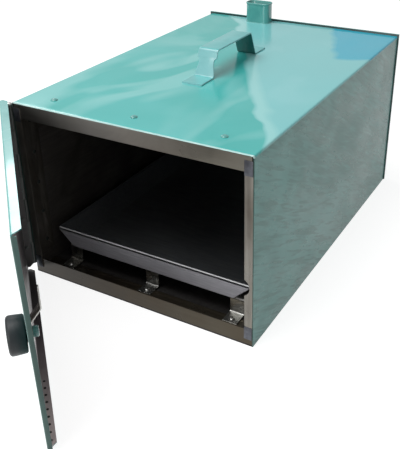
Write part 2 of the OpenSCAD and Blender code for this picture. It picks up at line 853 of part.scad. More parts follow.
module element_support() {
    width = leg_pitch + 2 * support_margin;
    color(bright_steel) in_box() difference() {
        translate([mid_x - width / 2, support_y, floor_t]) {
            cube([width, support_foot, support_t]);
            cube([width, support_t, element_z + sheath_r + 3 - floor_t]);
        }
        at_leg_ends(support_y - through)
            to_rear() cylinder(r = sheath_r + fit, h = support_t + 2 * through);
        at_support_feet(floor_t - through)
            cylinder(r = small_rivet_r + fit, h = support_t + 2 * through);
    }
}

module support_rivets() {
    head_z = floor_t + support_t;
    color(bright_steel) in_box() at_support_feet(head_z)
        blind_rivet(small_rivet_r, small_head_r, small_head_h, head_z - 2 * blind_end);
}

module element_bushes() {
    color(brass) in_box() at_leg_ends(body_d - bush_hex) to_rear() difference() {
        union() {
            hexagon(bush_flats, bush_hex);
            cylinder(r = bush_r, h = bush_hex + skin_t + bush_out);
        }
        translate([0, 0, -1]) cylinder(r = sheath_r + fit, h = bush_hex + skin_t + bush_out + 2);
    }
}

module element_nuts() {
    color(brass) in_box() at_leg_ends(rear_face) to_rear() difference() {
        hexagon(bush_flats, nut_t);
        translate([0, 0, -1]) cylinder(r = bush_r + fit, h = nut_t + 2);
    }
}

module element_insulators() {
    color(ceramic) in_box() at_leg_ends(sheath_end) to_rear() difference() {
        cylinder(r = insulator_r, h = insulator_len);
        translate([0, 0, -1]) cylinder(r = terminal_r + fit, h = insulator_len + 2);
    }
}

module element_pins() {
    start = sheath_end - pin_depth + 0.5;
    color(bright_steel) in_box() at_leg_ends(start)
        to_rear() cylinder(r = terminal_r, h = terminal_end - start);
}

// A box open to the panel, with a flange at each side and a cut-out for the inlet
module terminal_cover() {
    color(teal) in_box() difference() {
        union() {
            translate([cover_x, rear_face, cover_low]) cube([cover_w, cover_d, cover_h]);
            translate([cover_x - cover_flange, rear_face, cover_low])
                cube([cover_w + 2 * cover_flange, skin_t, cover_h]);
        }
        translate([cover_x + skin_t, rear_face - through, cover_low + skin_t])
            cube([cover_w - 2 * skin_t, cover_d - skin_t + through, cover_h - 2 * skin_t]);
        at_cover_screws(rear_face - through)
            to_rear() cylinder(r = small_rivet_r + fit, h = skin_t + 2 * through);
        translate([inlet_x, cover_back - skin_t - through, inlet_z])
            translate([-inlet_w / 2 - fit, 0, -inlet_h / 2 - fit])
                cube([inlet_w + 2 * fit, skin_t + 2 * through, inlet_h + 2 * fit]);
        at_inlet_screws(cover_back - skin_t - through)
            to_rear() cylinder(r = small_rivet_r + fit, h = skin_t + 2 * through);
    }
}

module cover_screws() {
    color(bright_steel) in_box() at_cover_screws(rear_face + skin_t)
        to_rear() screw(small_rivet_r, small_head_r, small_screw_h, 2 * skin_t + small_screw_out);
}

// A recessed three-pole inlet in a screwed plate
module inlet_body() {
    color(black) in_box() translate([inlet_x, cover_back, inlet_z]) difference() {
        union() {
            translate([-inlet_plate_w / 2, 0, -inlet_plate_h / 2])
                cube([inlet_plate_w, inlet_plate_t, inlet_plate_h]);
            translate([-inlet_w / 2, -inlet_depth, -inlet_h / 2])
                cube([inlet_w, inlet_depth + inlet_plate_t, inlet_h]);
        }
        translate([inlet_wall - inlet_w / 2, inlet_plate_t - inlet_recess, inlet_wall - inlet_h / 2])
            cube([inlet_w - 2 * inlet_wall, inlet_recess + 1, inlet_h - 2 * inlet_wall]);
        for (p = contact_places)
            translate([p[0] - contact_t / 2 - fit, -inlet_depth - 1, p[1] - contact_w / 2 - fit])
                cube([contact_t + 2 * fit, inlet_depth, contact_w + 2 * fit]);
        for (side = [-1, 1])
            translate([side * inlet_screw_pitch / 2, -1, 0])
                to_rear() cylinder(r = small_rivet_r + fit, h = inlet_plate_t + 2);
    }
}

module inlet_contacts() {
    color(brass) in_box() for (p = contact_places)
        translate([inlet_x + p[0] - contact_t / 2, contact_end, inlet_z + p[1] - contact_w / 2])
            cube([contact_t, cover_back - contact_end, contact_w]);
}

module inlet_screws() {
    color(bright_steel) in_box() at_inlet_screws(cover_back + inlet_plate_t)
        to_rear()
            screw(small_rivet_r, small_head_r, small_screw_h,
                  inlet_plate_t + skin_t + small_screw_out);
}

module earth_stud() {
    color(brass) in_box() translate([earth_x, body_d, earth_z]) {
        to_front() cylinder(r = 2 * screw_r, h = earth_head);
        to_rear() cylinder(r = screw_r, h = skin_t + earth_out);
    }
}

module earth_nut() {
    color(brass) in_box() translate([earth_x, rear_face, earth_z]) to_rear() difference() {
        hexagon(earth_flats, earth_nut_t);
        translate([0, 0, -1]) cylinder(r = screw_r + fit, h = earth_nut_t + 2);
    }
}

// A wire that leaves its start to the front and comes down on its end
module wire(start, start_pull, end_pull, end) {
    pts = [start, start - [0, start_pull, 0], end + [0, 0, end_pull], end];
    function at(t) = let (s = 1 - t)
        s * s * s * pts[0] + 3 * s * s * t * pts[1] + 3 * s * t * t * pts[2] + t * t * t * pts[3];
    function ring(t) =
        let (along = unit(at(min(t + 0.01, 1)) - at(max(t - 0.01, 0))))
        let (side = unit(cross(along, [1, 1, 0.3])), up = cross(side, along))
        [for (k = [0 : wire_sides - 1])
            let (a = 360 * k / wire_sides) at(t) + wire_r * (cos(a) * side + sin(a) * up)];
    rings = [for (i = [0 : wire_steps]) each ring(i / wire_steps)];
    walls = [for (i = [0 : wire_steps - 1], k = [0 : wire_sides - 1])
        let (a = i * wire_sides, b = a + wire_sides, n = (k + 1) % wire_sides)
        each [[a + k, b + k, b + n], [a + k, b + n, a + n]]];
    first_end = [for (k = [1 : wire_sides - 2]) [0, k, k + 1]];
    last = wire_steps * wire_sides;
    last_end = [for (k = [1 : wire_sides - 2]) [last, last + k + 1, last + k]];
    polyhedron(rings, concat(walls, first_end, last_end));
}

// Two live leads to the element's pins and one to the earth stud
module lead_wires() {
    starts = [for (p = contact_places) [inlet_x + p[0], contact_end - wire_gap, inlet_z + p[1]]];
    pin_y = terminal_end - pin_hold;
    pin_top = element_z + terminal_r + wire_gap;
    stud_end = [earth_x, rear_face + earth_out - pin_hold / 2, earth_z + screw_r + wire_gap];
    color(copper) in_box() {
        wire(starts[0], near_pull, near_drop, [leg_xs[0], pin_y, pin_top]);
        wire(starts[2], far_pull, far_drop, [leg_xs[1], pin_y, pin_top]);
        wire(starts[1], earth_pull, earth_drop, stud_end);
    }
}

casing_wrap();
floor_panel();
rear_panel();
frame_top_rail();
frame_bottom_rail();
frame_left_stile();
frame_right_stile();
top_rivets();
carry_handle();
vent_pipe();
front_brackets();
rear_brackets();
bracket_screws();
bracket_rivets();
tray_pan();
door_pan();
hinge_casing_leaf();
hinge_door_leaf();
hinge_pin();
hinge_casing_rivets();
hinge_door_rivets();
latch_knob();
latch_spindle();
latch_washer();
latch_tongue();
latch_cap_nut();
element_sheath();
element_support();
support_rivets();
element_bushes();
element_nuts();
element_insulators();
element_pins();
terminal_cover();
cover_screws();
inlet_body();
inlet_contacts();
inlet_screws();
earth_stud();
earth_nut();
lead_wires();
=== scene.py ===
"""Dresses the oven: enamelled casing, bare steel front frame, open door, steel tray and element.

Lengths are millimetres from the casing's front left bottom corner. A draft is moved into the
frame, in metres about the middle of the underside, when it becomes an object.
"""

import json
import logging
import math
from dataclasses import dataclass, field
from enum import Enum, IntEnum
from typing import Callable, Optional, Sequence

import bmesh
import bpy
from mathutils import Matrix, Vector, noise

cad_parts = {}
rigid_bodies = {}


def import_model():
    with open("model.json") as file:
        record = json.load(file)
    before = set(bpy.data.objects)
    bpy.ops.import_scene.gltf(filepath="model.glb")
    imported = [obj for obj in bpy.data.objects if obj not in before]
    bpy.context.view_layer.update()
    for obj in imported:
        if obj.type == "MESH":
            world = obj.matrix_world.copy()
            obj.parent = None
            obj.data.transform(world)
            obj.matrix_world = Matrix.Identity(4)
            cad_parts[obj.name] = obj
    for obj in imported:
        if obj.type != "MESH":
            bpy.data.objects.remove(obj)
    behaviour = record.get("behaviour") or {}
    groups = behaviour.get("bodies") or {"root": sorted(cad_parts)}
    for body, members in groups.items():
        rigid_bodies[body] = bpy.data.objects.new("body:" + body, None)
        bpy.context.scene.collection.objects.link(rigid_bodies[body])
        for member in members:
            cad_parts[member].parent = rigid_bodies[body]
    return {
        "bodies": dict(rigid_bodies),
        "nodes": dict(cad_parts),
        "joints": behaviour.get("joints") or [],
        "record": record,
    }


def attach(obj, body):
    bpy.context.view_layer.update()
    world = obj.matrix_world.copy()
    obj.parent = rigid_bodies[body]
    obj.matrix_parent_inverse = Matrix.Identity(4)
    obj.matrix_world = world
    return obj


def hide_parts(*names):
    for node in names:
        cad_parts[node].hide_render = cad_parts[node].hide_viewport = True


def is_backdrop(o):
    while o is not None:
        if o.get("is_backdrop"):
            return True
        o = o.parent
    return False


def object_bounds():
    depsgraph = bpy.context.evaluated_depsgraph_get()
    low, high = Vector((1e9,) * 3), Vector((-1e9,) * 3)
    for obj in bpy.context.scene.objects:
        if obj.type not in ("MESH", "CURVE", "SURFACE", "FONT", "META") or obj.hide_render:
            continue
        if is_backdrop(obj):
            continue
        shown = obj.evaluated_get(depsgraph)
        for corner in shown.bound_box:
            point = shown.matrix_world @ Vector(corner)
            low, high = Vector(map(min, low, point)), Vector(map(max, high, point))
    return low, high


MM = 0.001
MIDDLE = Vector((160.0, 235.0, 0.0))
HINGE_AXIS = Vector((-4.2, 0.0, 0.0))
DOOR_OPEN = math.radians(43.5)
WELD = 1e-5  # Points of a draft that lie this close, in millimetres, are one point.
CAD_WELD = 1e-7  # The same for a construction node's copy, in metres.
FLAT = math.radians(0.5)  # Faces of such a copy that meet at less than this become one face.

Pair = tuple[float, float]
Triple = tuple[float, float, float]
Outline = Sequence[Pair]
Colour = str
Piece = bpy.types.Object
Face = bpy.types.MeshPolygon
Socket = bpy.types.NodeSocket
log = logging.getLogger("oven")


class Axis(Enum):
    """The direction that a draft is drawn out or turned about."""

    X = 0
    Y = 1
    Z = 2

    def point(self, a: float, b: float, along: float) -> Vector:
        """Returns the point with outline coordinates a and b at a distance along the axis."""
        if self is Axis.X:
            return Vector((along, a, b))
        if self is Axis.Y:
            return Vector((a, along, b))
        return Vector((a, b, along))


class Body(Enum):
    """The moving parts of the oven."""

    CASING = "casing"
    DOOR = "door"
    LATCH = "latch"
    TRAY = "tray"


class Slot(Enum):
    """The material slots of the record."""

    ENAMEL = "teal_enamel"
    BARE = "bare_steel"
    TRAY = "tray_steel"
    BRIGHT = "bright_steel"
    DARK = "dark_steel"
    PHENOLIC = "black_plastic"
    BRASS = "brass"
    CERAMIC = "ceramic"
    SLEEVE = "wire_sleeve"


def smooth_step(low: float, high: float, value: float) -> float:
    """Returns 0 below low, 1 above high and a smooth blend between them."""
    t = min(max((value - low) / (high - low), 0.0), 1.0)
    return t * t * (3 - 2 * t)


def paint(code: str) -> tuple[float, float, float, float]:
    """Turns a display colour, as #rrggbb, into the linear colour that a shader takes."""
    channels = (int(code[i:i + 2], 16) / 255 for i in (1, 3, 5))
    return (*(v / 12.92 if v <= 0.04045 else ((v + 0.055) / 1.055) ** 2.4 for v in channels), 1.0)


def arc(centre: Pair, radius: float, start: float, end: float, steps: int) -> list[Pair]:
    """Returns the points of an arc in straight steps from a start to an end, in degrees."""
    angles = [math.radians(start + (end - start) * i / steps) for i in range(steps + 1)]
    return [(centre[0] + radius * math.cos(a), centre[1] + radius * math.sin(a)) for a in angles]


def oval(width: float, depth: float, radius: float, steps: int = 10) -> list[Pair]:
    """Returns a rectangle with four round corners, about its middle."""
    points = []
    for turn, (sx, sy) in enumerate(((1, 1), (-1, 1), (-1, -1), (1, -1))):
        centre = (sx * (width / 2 - radius), sy * (depth / 2 - radius))
        points += arc(centre, radius, 90 * turn, 90 * turn + 90, steps)
    return points


def rounded_path(points: Outline, radius: float, steps: int = 8) -> list[Vector]:
    """Rounds the corners of an open path.

    Args:
        points: Corners of the path.
        radius: Radius of each bend.
        steps: Straight pieces in each bend.

    Returns:
        The path's points, with each inner corner replaced by an arc.
    """
    corners = [Vector(p) for p in points]
    path = [corners[0]]
    for before, corner, after in zip(corners, corners[1:], corners[2:]):
        into, out = (corner - before).normalized(), (after - corner).normalized()
        angle = into.angle(out)
        reach = radius * math.tan(angle / 2)
        first = corner - into * reach
        sense = 1 if into.cross(out) > 0 else -1
        centre = first + sense * radius * Vector((-into.y, into.x))
        arm = first - centre
        for i in range(steps + 1):
            turned = sense * angle * i / steps
            path.append(centre + Vector((arm.x * math.cos(turned) - arm.y * math.sin(turned),
                                         arm.x * math.sin(turned) + arm.y * math.cos(turned))))
    path.append(corners[-1])
    return path


def sides_of(path: Sequence[Vector]) -> list[Vector]:
    """Returns the unit normal at each point of a flat path."""
    normals = []
    for i in range(len(path)):
        run = path[min(i + 1, len(path) - 1)] - path[max(i - 1, 0)]
        normals.append(Vector((-run.y, run.x)).normalized())
    return normals


def strip(points: Outline, thickness: float, radius: float) -> list[Pair]:
    """Returns the outline of a bent strip whose middle line follows the points."""
    path = rounded_path(points, radius)
    sides = sides_of(path)
    left = [p + n * thickness / 2 for p, n in zip(path, sides)]
    right = [p - n * thickness / 2 for p, n in zip(path, sides)]
    return [(p.x, p.y) for p in left + right[::-1]]


def shown(obj: Piece) -> Piece:
    """Links an object to the scene and returns it."""
    bpy.context.scene.collection.objects.link(obj)
    return obj


def baked(obj: Piece) -> Piece:
    """Turns an object's modifiers into its plain mesh and returns the object."""
    bpy.context.view_layer.update()
    graph = bpy.context.evaluated_depsgraph_get()
    mesh = bpy.data.meshes.new_from_object(obj.evaluated_get(graph))
    obj.modifiers.clear()
    obj.data = mesh
    return obj


def soften(obj: Piece, width: float, segments: int = 2,
           limit: float = 35.0) -> Piece:
    """Rounds an object's edges and shades it smooth.

    Args:
        obj: Object whose edges are rounded.
        width: Width of the rounding in millimetres, or zero for none.
        segments: Faces across the rounding.
        limit: Smallest angle in degrees of an edge that is rounded.

    Returns:
        The same object with a plain mesh.
    """
    if width > 0:
        bevel = obj.modifiers.new("edges", "BEVEL")
        bevel.width = width * MM
        bevel.segments = segments
        bevel.limit_method = "ANGLE"
        bevel.angle_limit = math.radians(limit)
        bevel.harden_normals = True
        obj.data.shade_smooth()
        baked(obj)
    else:
        obj.data.shade_smooth()
        obj.data.set_sharp_from_angle(angle=math.radians(limit))
    return obj


def carve(obj: Piece, cutter: Piece) -> Piece:
    """Cuts one object out of another and returns the cut one."""
    cut = obj.modifiers.new("cut", "BOOLEAN")
    cut.operation = "DIFFERENCE"
    cut.solver = "EXACT"
    cut.object = cutter
    baked(obj)
    bpy.data.objects.remove(cutter)
    return obj


def dome(radius: float, rise: float, steps: int) -> list[Pair]:
    """Returns a dome's profile for a lathe, from its pole to its rim at height 0."""
    angles = [math.radians(90 * i / steps) for i in range(steps, -1, -1)]
    return [(radius * math.cos(a), rise * math.sin(a)) for a in angles]


def depth_of(face: Face) -> float:
    """Returns how far a face's middle lies behind the casing's front, in millimetres."""
    return face.center.y / MM + MIDDLE.y


def walled(sheet: Piece, thickness: float, inside: int, rim: int = 0) -> Piece:
    """Thickens an open sheet inwards.

    Args:
        sheet: Object whose faces turn outwards.
        thickness: Thickness in millimetres.
        inside: What is added to a face's material index for the inner side.
        rim: What is added to it for the rim.

    Returns:
        The same object with a plain mesh.
    """
    wall = sheet.modifiers.new("wall", "SOLIDIFY")
    wall.thickness, wall.offset = thickness * MM, -1
    wall.material_offset, wall.material_offset_rim = inside, rim
    return baked(sheet)


@dataclass
class Draft:
    """A mesh under construction, in millimetres from the casing's corner."""

    mesh: bmesh.types.BMesh = field(default_factory=bmesh.new)

    def skin(self, near: list[bmesh.types.BMVert], far: list[bmesh.types.BMVert]) -> None:
        """Joins two rows of points with a row of faces."""
        for corners in zip(near, near[1:], far[1:], far):
            self.mesh.faces.new(corners)

    def loft(self, rings: Sequence[Sequence[Vector]], closed: bool = False) -> "Draft":
        """Skins rings that have the same number of points.

        Args:
            rings: Rings of points, each a closed loop.
            closed: Whether the last ring is joined to the first, or else both are filled.

        Returns:
            The draft itself.
        """
        rows = [[self.mesh.verts.new(p) for p in ring] for ring in rings]
        for low, high in zip(rows, rows[1:] + rows[:1] if closed else rows[1:]):
            self.skin(low + low[:1], high + high[:1])
        if not closed:
            self.mesh.faces.new(rows[0][::-1])
            self.mesh.faces.new(rows[-1])
        return self

    def prism(self, outline: Outline, start: float, length: float, axis: Axis) -> "Draft":
        """Draws an outline out along an axis, from start, and returns the draft."""
        return self.loft([[axis.point(a, b, s) for a, b in outline]
                          for s in (start, start + length)])

    def lathe(self, profile: Outline, axis: Axis, steps: int,
              centre: Sequence[float] = (0, 0, 0)) -> "Draft":
        """Turns a profile, radii and distances from a centre, about an axis in steps."""
        angles = [2 * math.pi * i / steps for i in range(steps)]
        return self.loft([[axis.point(r * math.cos(a), r * math.sin(a), h) + Vector(centre)
                           for a in angles] for r, h in profile])

    def tube(self, path: Sequence[Vector], radius: float, steps: int) -> "Draft":
        """Sweeps a circle along a path.

        Args:
            path: Points of the middle line.
            radius: Radius of the tube.
            steps: Number of sides.

        Returns:
            The draft itself.
        """
        rings = []
        side = None
        for i, point in enumerate(path):
            run = (path[min(i + 1, len(path) - 1)] - path[max(i - 1, 0)]).normalized()
            guide = side or Vector((0.3, 0.1, 1.0))
            side = (guide - run * guide.dot(run)).normalized()
            across = run.cross(side)
            rings.append([point + radius * (math.cos(a) * side + math.sin(a) * across)
                          for a in (2 * math.pi * k / steps for k in range(steps))])
        return self.loft(rings)

    def finish(self, name: str, on_door: bool = False, outward: Optional[Vector] = None,
               origin: bool = False) -> Piece:
        """Makes the draft an object in the frame.

        Args:
            name: Name of the object.
            on_door: Whether it was drawn on the closed door and is turned with it.
            outward: For an open sheet, a point behind it that its faces turn away from.
            origin: Whether it is a shape to repeat, drawn about the frame's origin.

        Returns:
            The object, at the origin, with its place in its mesh.
        """
        bmesh.ops.remove_doubles(self.mesh, verts=self.mesh.verts, dist=WELD)
        bmesh.ops.recalc_face_normals(self.mesh, faces=self.mesh.faces)
        if outward is not None:
            facing = sum((f.calc_center_median() - outward).dot(f.normal) * f.calc_area()
                         for f in self.mesh.faces)
            if facing < 0:
                bmesh.ops.reverse_faces(self.mesh, faces=self.mesh.faces)
        data = bpy.data.meshes.new(name)
        self.mesh.to_mesh(data)
        self.mesh.free()
        matrix = Matrix.Scale(MM, 4)
        if not origin:
            matrix = matrix @ Matrix.Translation(-MIDDLE)
        if on_door:
            matrix = (matrix @ Matrix.Translation(HINGE_AXIS)
                      @ Matrix.Rotation(-DOOR_OPEN, 4, "Z") @ Matrix.Translation(-HINGE_AXIS))
        data.transform(matrix)
        return shown(bpy.data.objects.new(name, data))


def turned(name: str, profile: Outline, steps: int) -> Piece:
    """Returns a shape to repeat, turned about Z."""
    return soften(Draft().lathe(profile, Axis.Z, steps).finish(name, origin=True), 0)


def spread(low: float, high: float, cell: float) -> list[float]:
    """Returns values from low to high that are about a cell apart."""
    count = max(1, round((high - low) / cell))
    return [low + (high - low) * i / count for i in range(count + 1)]


class Nodes:
    """A node tree under construction."""

    def __init__(self, tree: bpy.types.NodeTree) -> None:
        """Takes the tree."""
        self.tree = tree

    def add(self, kind: str, inputs: Optional[dict[str | int, object]] = None,
            **settings: object) -> bpy.types.Node:
        """Adds a node.

        Args:
            kind: Its type.
            inputs: A socket or a value for each input, by the input's name or number.
            **settings: Its own settings.

        Returns:
            The node.
        """
        node = self.tree.nodes.new(kind)
        for key, value in settings.items():
            setattr(node, key, value)
        self.fill(node, inputs or {})
        return node

    def fill(self, node: bpy.types.Node, inputs: dict[str | int, object]) -> None:
        """Links a node's inputs to the sockets that are given, and sets the values."""
        for key, value in inputs.items():
            if isinstance(value, Socket):
                self.tree.links.new(value, node.inputs[key])
            else:
                node.inputs[key].default_value = value

    def combine(self, operation: str, *values: Socket | float) -> Socket:
        """Returns sockets and numbers combined by an operation of the Math node."""
        return self.add("ShaderNodeMath", dict(enumerate(values)), operation=operation).outputs[0]


class Graph(Nodes):
    """The nodes of one finish, read on the piece's own coordinates."""

    def __init__(self, name: str) -> None:
        """Starts a material with its shader."""
        self.material = bpy.data.materials.new(name)
        self.material.use_nodes = True
        super().__init__(self.material.node_tree)
        self.place = self.add("ShaderNodeTexCoord").outputs["Object"]

    def noise(self, scale: float, detail: float, stretch: Sequence[float] = (1, 1, 1),
              twist: float = 0.0, lean: float = 0.0) -> Socket:
        """Adds a noise.

        Args:
            scale: Patches in a metre.
            detail: How many finer layers it has.
            stretch: Scale along each axis.
            twist: How far it is distorted.
            lean: Turn of its axes about X.

        Returns:
            The noise, 0 to 1.
        """
        grid = self.add("ShaderNodeMapping",
                        {"Vector": self.place, "Rotation": (lean, 0.0, 0.0),
                         "Scale": tuple(1 / s for s in stretch)}, vector_type="TEXTURE")
        return self.add("ShaderNodeTexNoise",
                        {"Vector": grid.outputs["Vector"], "Scale": scale, "Detail": detail,
                         "Distortion": twist}).outputs["Fac"]

    def ramp(self, factor: Socket, stops: Sequence[tuple[float, Colour]]) -> Socket:
        """Returns colours blended between stops, each a place and a colour, by a factor."""
        node = self.add("ShaderNodeValToRGB", {"Fac": factor})
        band = node.color_ramp.elements
        while len(band) < len(stops):
            band.new(0.5)
        for element, (place, colour) in zip(band, stops):
            element.position = place
            element.color = paint(colour)
        return node.outputs["Color"]

    def between(self, factor: Socket, low: float, high: float, start: float = 0.3,
                end: float = 0.7) -> Socket:
        """Returns a number that goes from low to high as the factor goes from start to end."""
        return self.add("ShaderNodeMapRange",
                        {"Value": factor, "From Min": start, "From Max": end, "To Min": low,
                         "To Max": high}).outputs["Result"]

    def blend(self, factor: Socket | float, first: Socket, second: Socket | Colour) -> Socket:
        """Returns a colour blended with a second one by a factor."""
        other = paint(second) if isinstance(second, Colour) else second
        return self.add("ShaderNodeMix", {0: factor, 6: first, 7: other},
                        data_type="RGBA").outputs[2]

    def along(self, way: Triple, wave: Optional[Socket] = None, reach: float = 0.0) -> Socket:
        """Measures each point along a direction.

        Args:
            way: The direction.
            wave: A number, 0 to 1, that moves the measure to and fro.
            reach: How far the wave moves it, in metres.

        Returns:
            The measure, in metres from the object's origin.
        """
        measure = self.add("ShaderNodeVectorMath", {0: self.place, 1: way},
                           operation="DOT_PRODUCT").outputs["Value"]
        return measure if wave is None else self.combine("MULTIPLY_ADD", wave, reach, measure)

    def bump(self, height: Socket, distance: float, after: Optional[Socket] = None) -> Socket:
        """Returns the normal of a relief that is so many metres deep, added to another one."""
        under = {} if after is None else {"Normal": after}
        return self.add("ShaderNodeBump", {"Height": height, "Distance": distance, **under}
                        ).outputs["Normal"]

    def shade(self, **inputs: object) -> None:
        """Links or sets the shader's inputs, with _ for each space in their names."""
        self.fill(self.tree.nodes["Principled BSDF"],
                  {key.replace("_", " "): value for key, value in inputs.items()})


# Colours of painted reflection in the enamel: a pale one, the sky, and a blue one for a corner.
PALE_REFLECTION = "#a0dedc"
SKY_REFLECTION = "#8cd3d6"
BLUE_REFLECTION = "#18b2ce"
STREAK_LEAN = math.radians(-27)
WAVES, SMEARS, BANDS, RIPPLES = 11.0, 34.0, 4.6, 210.0  # The enamel's patches in a metre.


@dataclass(frozen=True)
class Finish:
    """Two blended colours with a fine relief: patches and grains in a metre, depth in metres."""

    name: str
    dark: Colour
    light: Colour
    patch: float = 60.0
    grain: float = 200.0
    relief: float = 0.00001
    rough: Pair = (0.4, 0.55)

    def material(self) -> bpy.types.Material:
        """Returns the finish's material, made once."""
        made = bpy.data.materials.get(self.name)
        if made is None:
            graph = Graph(self.name)
            self.draw(graph)
            made = graph.material
        return made

    def draw(self, graph: Graph) -> None:
        """Draws the finish's nodes."""
        patches = graph.noise(self.patch, 4)
        graph.shade(Base_Color=graph.ramp(patches, ((0.35, self.dark), (0.65, self.light))),
                    Roughness=graph.between(patches, *self.rough),
                    Normal=graph.bump(graph.noise(self.grain, 2), self.relief))


@dataclass(frozen=True)
class Enamel(Finish):
    """Glossy paint on sheet, with broad waves, a fine orange peel and uneven pale bands of painted
    reflection.

    The depths of wave and ripple are in metres, and shine is the weight of the clear coat.
    """

    patch: float = 30.0
    grain: float = 420.0
    rough: Pair = (0.16, 0.3)
    wave: float = 0.0003
    shine: float = 0.35
    bands: float = 0.0
    ripple: float = 0.0
    mirror: float = 0.5

    def painted_reflections(self, graph: Graph, colour: Socket) -> Socket:
        """Returns the colour with the finish's painted reflections; the plain enamel adds none."""
        return colour

    def draw(self, graph: Graph) -> None:
        """Draws the finish's nodes."""
        patches = graph.noise(self.patch, 3, twist=0.6)
        waves = graph.noise(WAVES, 1, (1.0, 0.6, 1.0), 0.8)
        smears = graph.noise(SMEARS, 5, (1.0, 0.4, 1.0), lean=STREAK_LEAN)
        relief = graph.bump(graph.noise(self.grain, 2), self.relief,
                            graph.bump(waves, self.wave))
        colour = graph.ramp(patches, ((0.3, self.dark), (0.7, self.light)))
        # Painted reflection: uneven pale bands blended into the colour.
        if self.bands > 0:
            bands = graph.noise(BANDS, 2, (1.5, 0.8, 1.5), 1.6)
            colour = graph.blend(graph.between(bands, 0.0, self.bands, 0.46, 0.56), colour, PALE_REFLECTION)
        colour = self.painted_reflections(graph, colour)
        if self.ripple > 0:
            ripples = graph.noise(RIPPLES, 1, (1.0, 0.12, 1.0), 0.4, STREAK_LEAN)
            relief = graph.bump(ripples, self.ripple, relief)
            # Painted reflection: darker and paler streaks along the ripples, which fade towards the
            # left side.
            right = graph.between(graph.along((1.0, 0.0, 0.0)), 0.3, 1.0, -0.1, 0.1)
            for low, high, start, end, tone in ((0.0, 0.8, 0.5, 0.66, self.dark),
                                                (0.5, 0.0, 0.32, 0.46, self.light)):
                streak = graph.between(ripples, low, high, start, end)
                colour = graph.blend(graph.combine("MULTIPLY", streak, right), colour, tone)
        graph.shade(Coat_Weight=self.shine, Coat_Roughness=0.06, IOR=1.5,
                    Specular_IOR_Level=self.mirror, Base_Color=colour,
                    Roughness=graph.between(smears, *self.rough), Normal=relief,
                    Coat_Normal=relief)


@dataclass(frozen=True)
class PaintedSkyEnamel(Enamel):
    """The top's enamel, darker towards the back left, with painted reflections: sky, a pale band, a
    blue corner.

    Each part starts and is complete at two places along its direction, in metres.
    """

    rear: Pair = (0.1, 0.22)
    sky: Pair = (0.061, 0.067)
    rim: Pair = (0.060, 0.068)
    fade: Pair = (0.074, 0.086)
    corner: Pair = (0.184, 0.196)
    across: Pair = (0.108, 0.122)

    def painted_reflections(self, graph: Graph, colour: Socket) -> Socket:
        """Returns the colour darker towards the back left, with its painted reflections."""
        wave = graph.noise(9.0, 2, twist=0.4)
        rear = graph.between(graph.along((-0.5, 1.0, 0.0), wave, 0.05), 0.0, 0.7, *self.rear)
        colour = graph.blend(rear, colour, self.dark)
        # Painted reflection of the sky behind a wavy line, with a pale band of painted reflection
        # along the line.
        behind = graph.along((1.0, 0.63, 0.0), wave, 0.07)
        colour = graph.blend(graph.between(behind, 0.0, 0.8, *self.sky), colour, SKY_REFLECTION)
        edge = graph.combine("MINIMUM", graph.between(behind, 0.0, 0.75, *self.rim),
                             graph.between(behind, 0.75, 0.0, *self.fade))
        colour = graph.blend(edge, colour, PALE_REFLECTION)
        # Painted blue reflection in the back right corner.
        corner = graph.along((1.0, 0.35, 0.0), wave, 0.09)
        across = graph.along((-0.2, 1.0, 0.0), wave, 0.1)
        blue = graph.combine("MULTIPLY", graph.between(corner, 0.0, 0.9, *self.corner),
                             graph.between(across, 0.0, 1.0, *self.across))
        return graph.blend(blue, colour, BLUE_REFLECTION)


@dataclass(frozen=True)
class Tones:
    """Tones that follow each other along a direction, which paint light, shade and reflection along
    a piece.

    Args:
        way: The direction.
        start: Where the first one lies, in metres from the object's origin.
        end: Where the last one lies.
        stops: Each tone's place between them, 0 to 1, and its colour.
        share: How much of the colour they make up.
    """

    way: Triple
    start: float
    end: float
    stops: tuple[tuple[float, Colour], ...]
    share: float = 0.85


@dataclass(frozen=True)
class Steel(Finish):
    """Rolled steel with a stretched grain, stains of a tint and tones along the piece, which paint
    light and shade onto it.
    """

    stretch: Triple = (1.0, 1.0, 1.0)
    metal: float = 0.65
    tint: Colour = "#6e7076"
    stain: float = 0.3
    tones: Optional[Tones] = None

    def draw(self, graph: Graph) -> None:
        """Draws the finish's nodes."""
        streaks = graph.noise(self.grain, 3, self.stretch)
        patches = graph.noise(self.patch, 5, twist=0.5)
        colour = graph.ramp(streaks, ((0.3, self.dark), (0.7, self.light)))
        tones = self.tones
        if tones:
            place = graph.between(graph.along(tones.way), 0.0, 1.0, tones.start, tones.end)
            colour = graph.blend(tones.share, colour, graph.ramp(place, tones.stops))
        stains = graph.between(patches, 0.0, self.stain, 0.45, 0.7)
        graph.shade(Metallic=self.metal, Base_Color=graph.blend(stains, colour, self.tint),
                    Roughness=graph.between(patches, *self.rough),
                    Normal=graph.bump(streaks, self.relief))


@dataclass(frozen=True)
class Braid(Finish):
    """A woven sleeve on a wire."""

    def draw(self, graph: Graph) -> None:
        """Draws the finish's nodes."""
        threads = graph.add("ShaderNodeTexVoronoi", {"Vector": graph.place, "Scale": self.grain}
                            ).outputs["Distance"]
        graph.shade(Base_Color=graph.ramp(threads, ((0.0, self.light), (0.6, self.dark))),
                    Normal=graph.bump(threads, self.relief), Roughness=0.8)


# The top's enamel carries painted reflections and pale bands of painted reflection.
TOP_TEAL = PaintedSkyEnamel("teal enamel on the top", "#3eb8b2", "#56c2be", patch=7.0,
                     rough=(0.14, 0.24), wave=0.0005, shine=0.12, bands=0.5)
# Painted highlight: pale teal on the top's rolled front edge and on its cut rim.
TOP_EDGE_HIGHLIGHT = Enamel("worn edge of the top", "#a8d6d2", "#c4e6e2", patch=60.0, rough=(0.2, 0.3),
                  wave=0.0, shine=0.1)
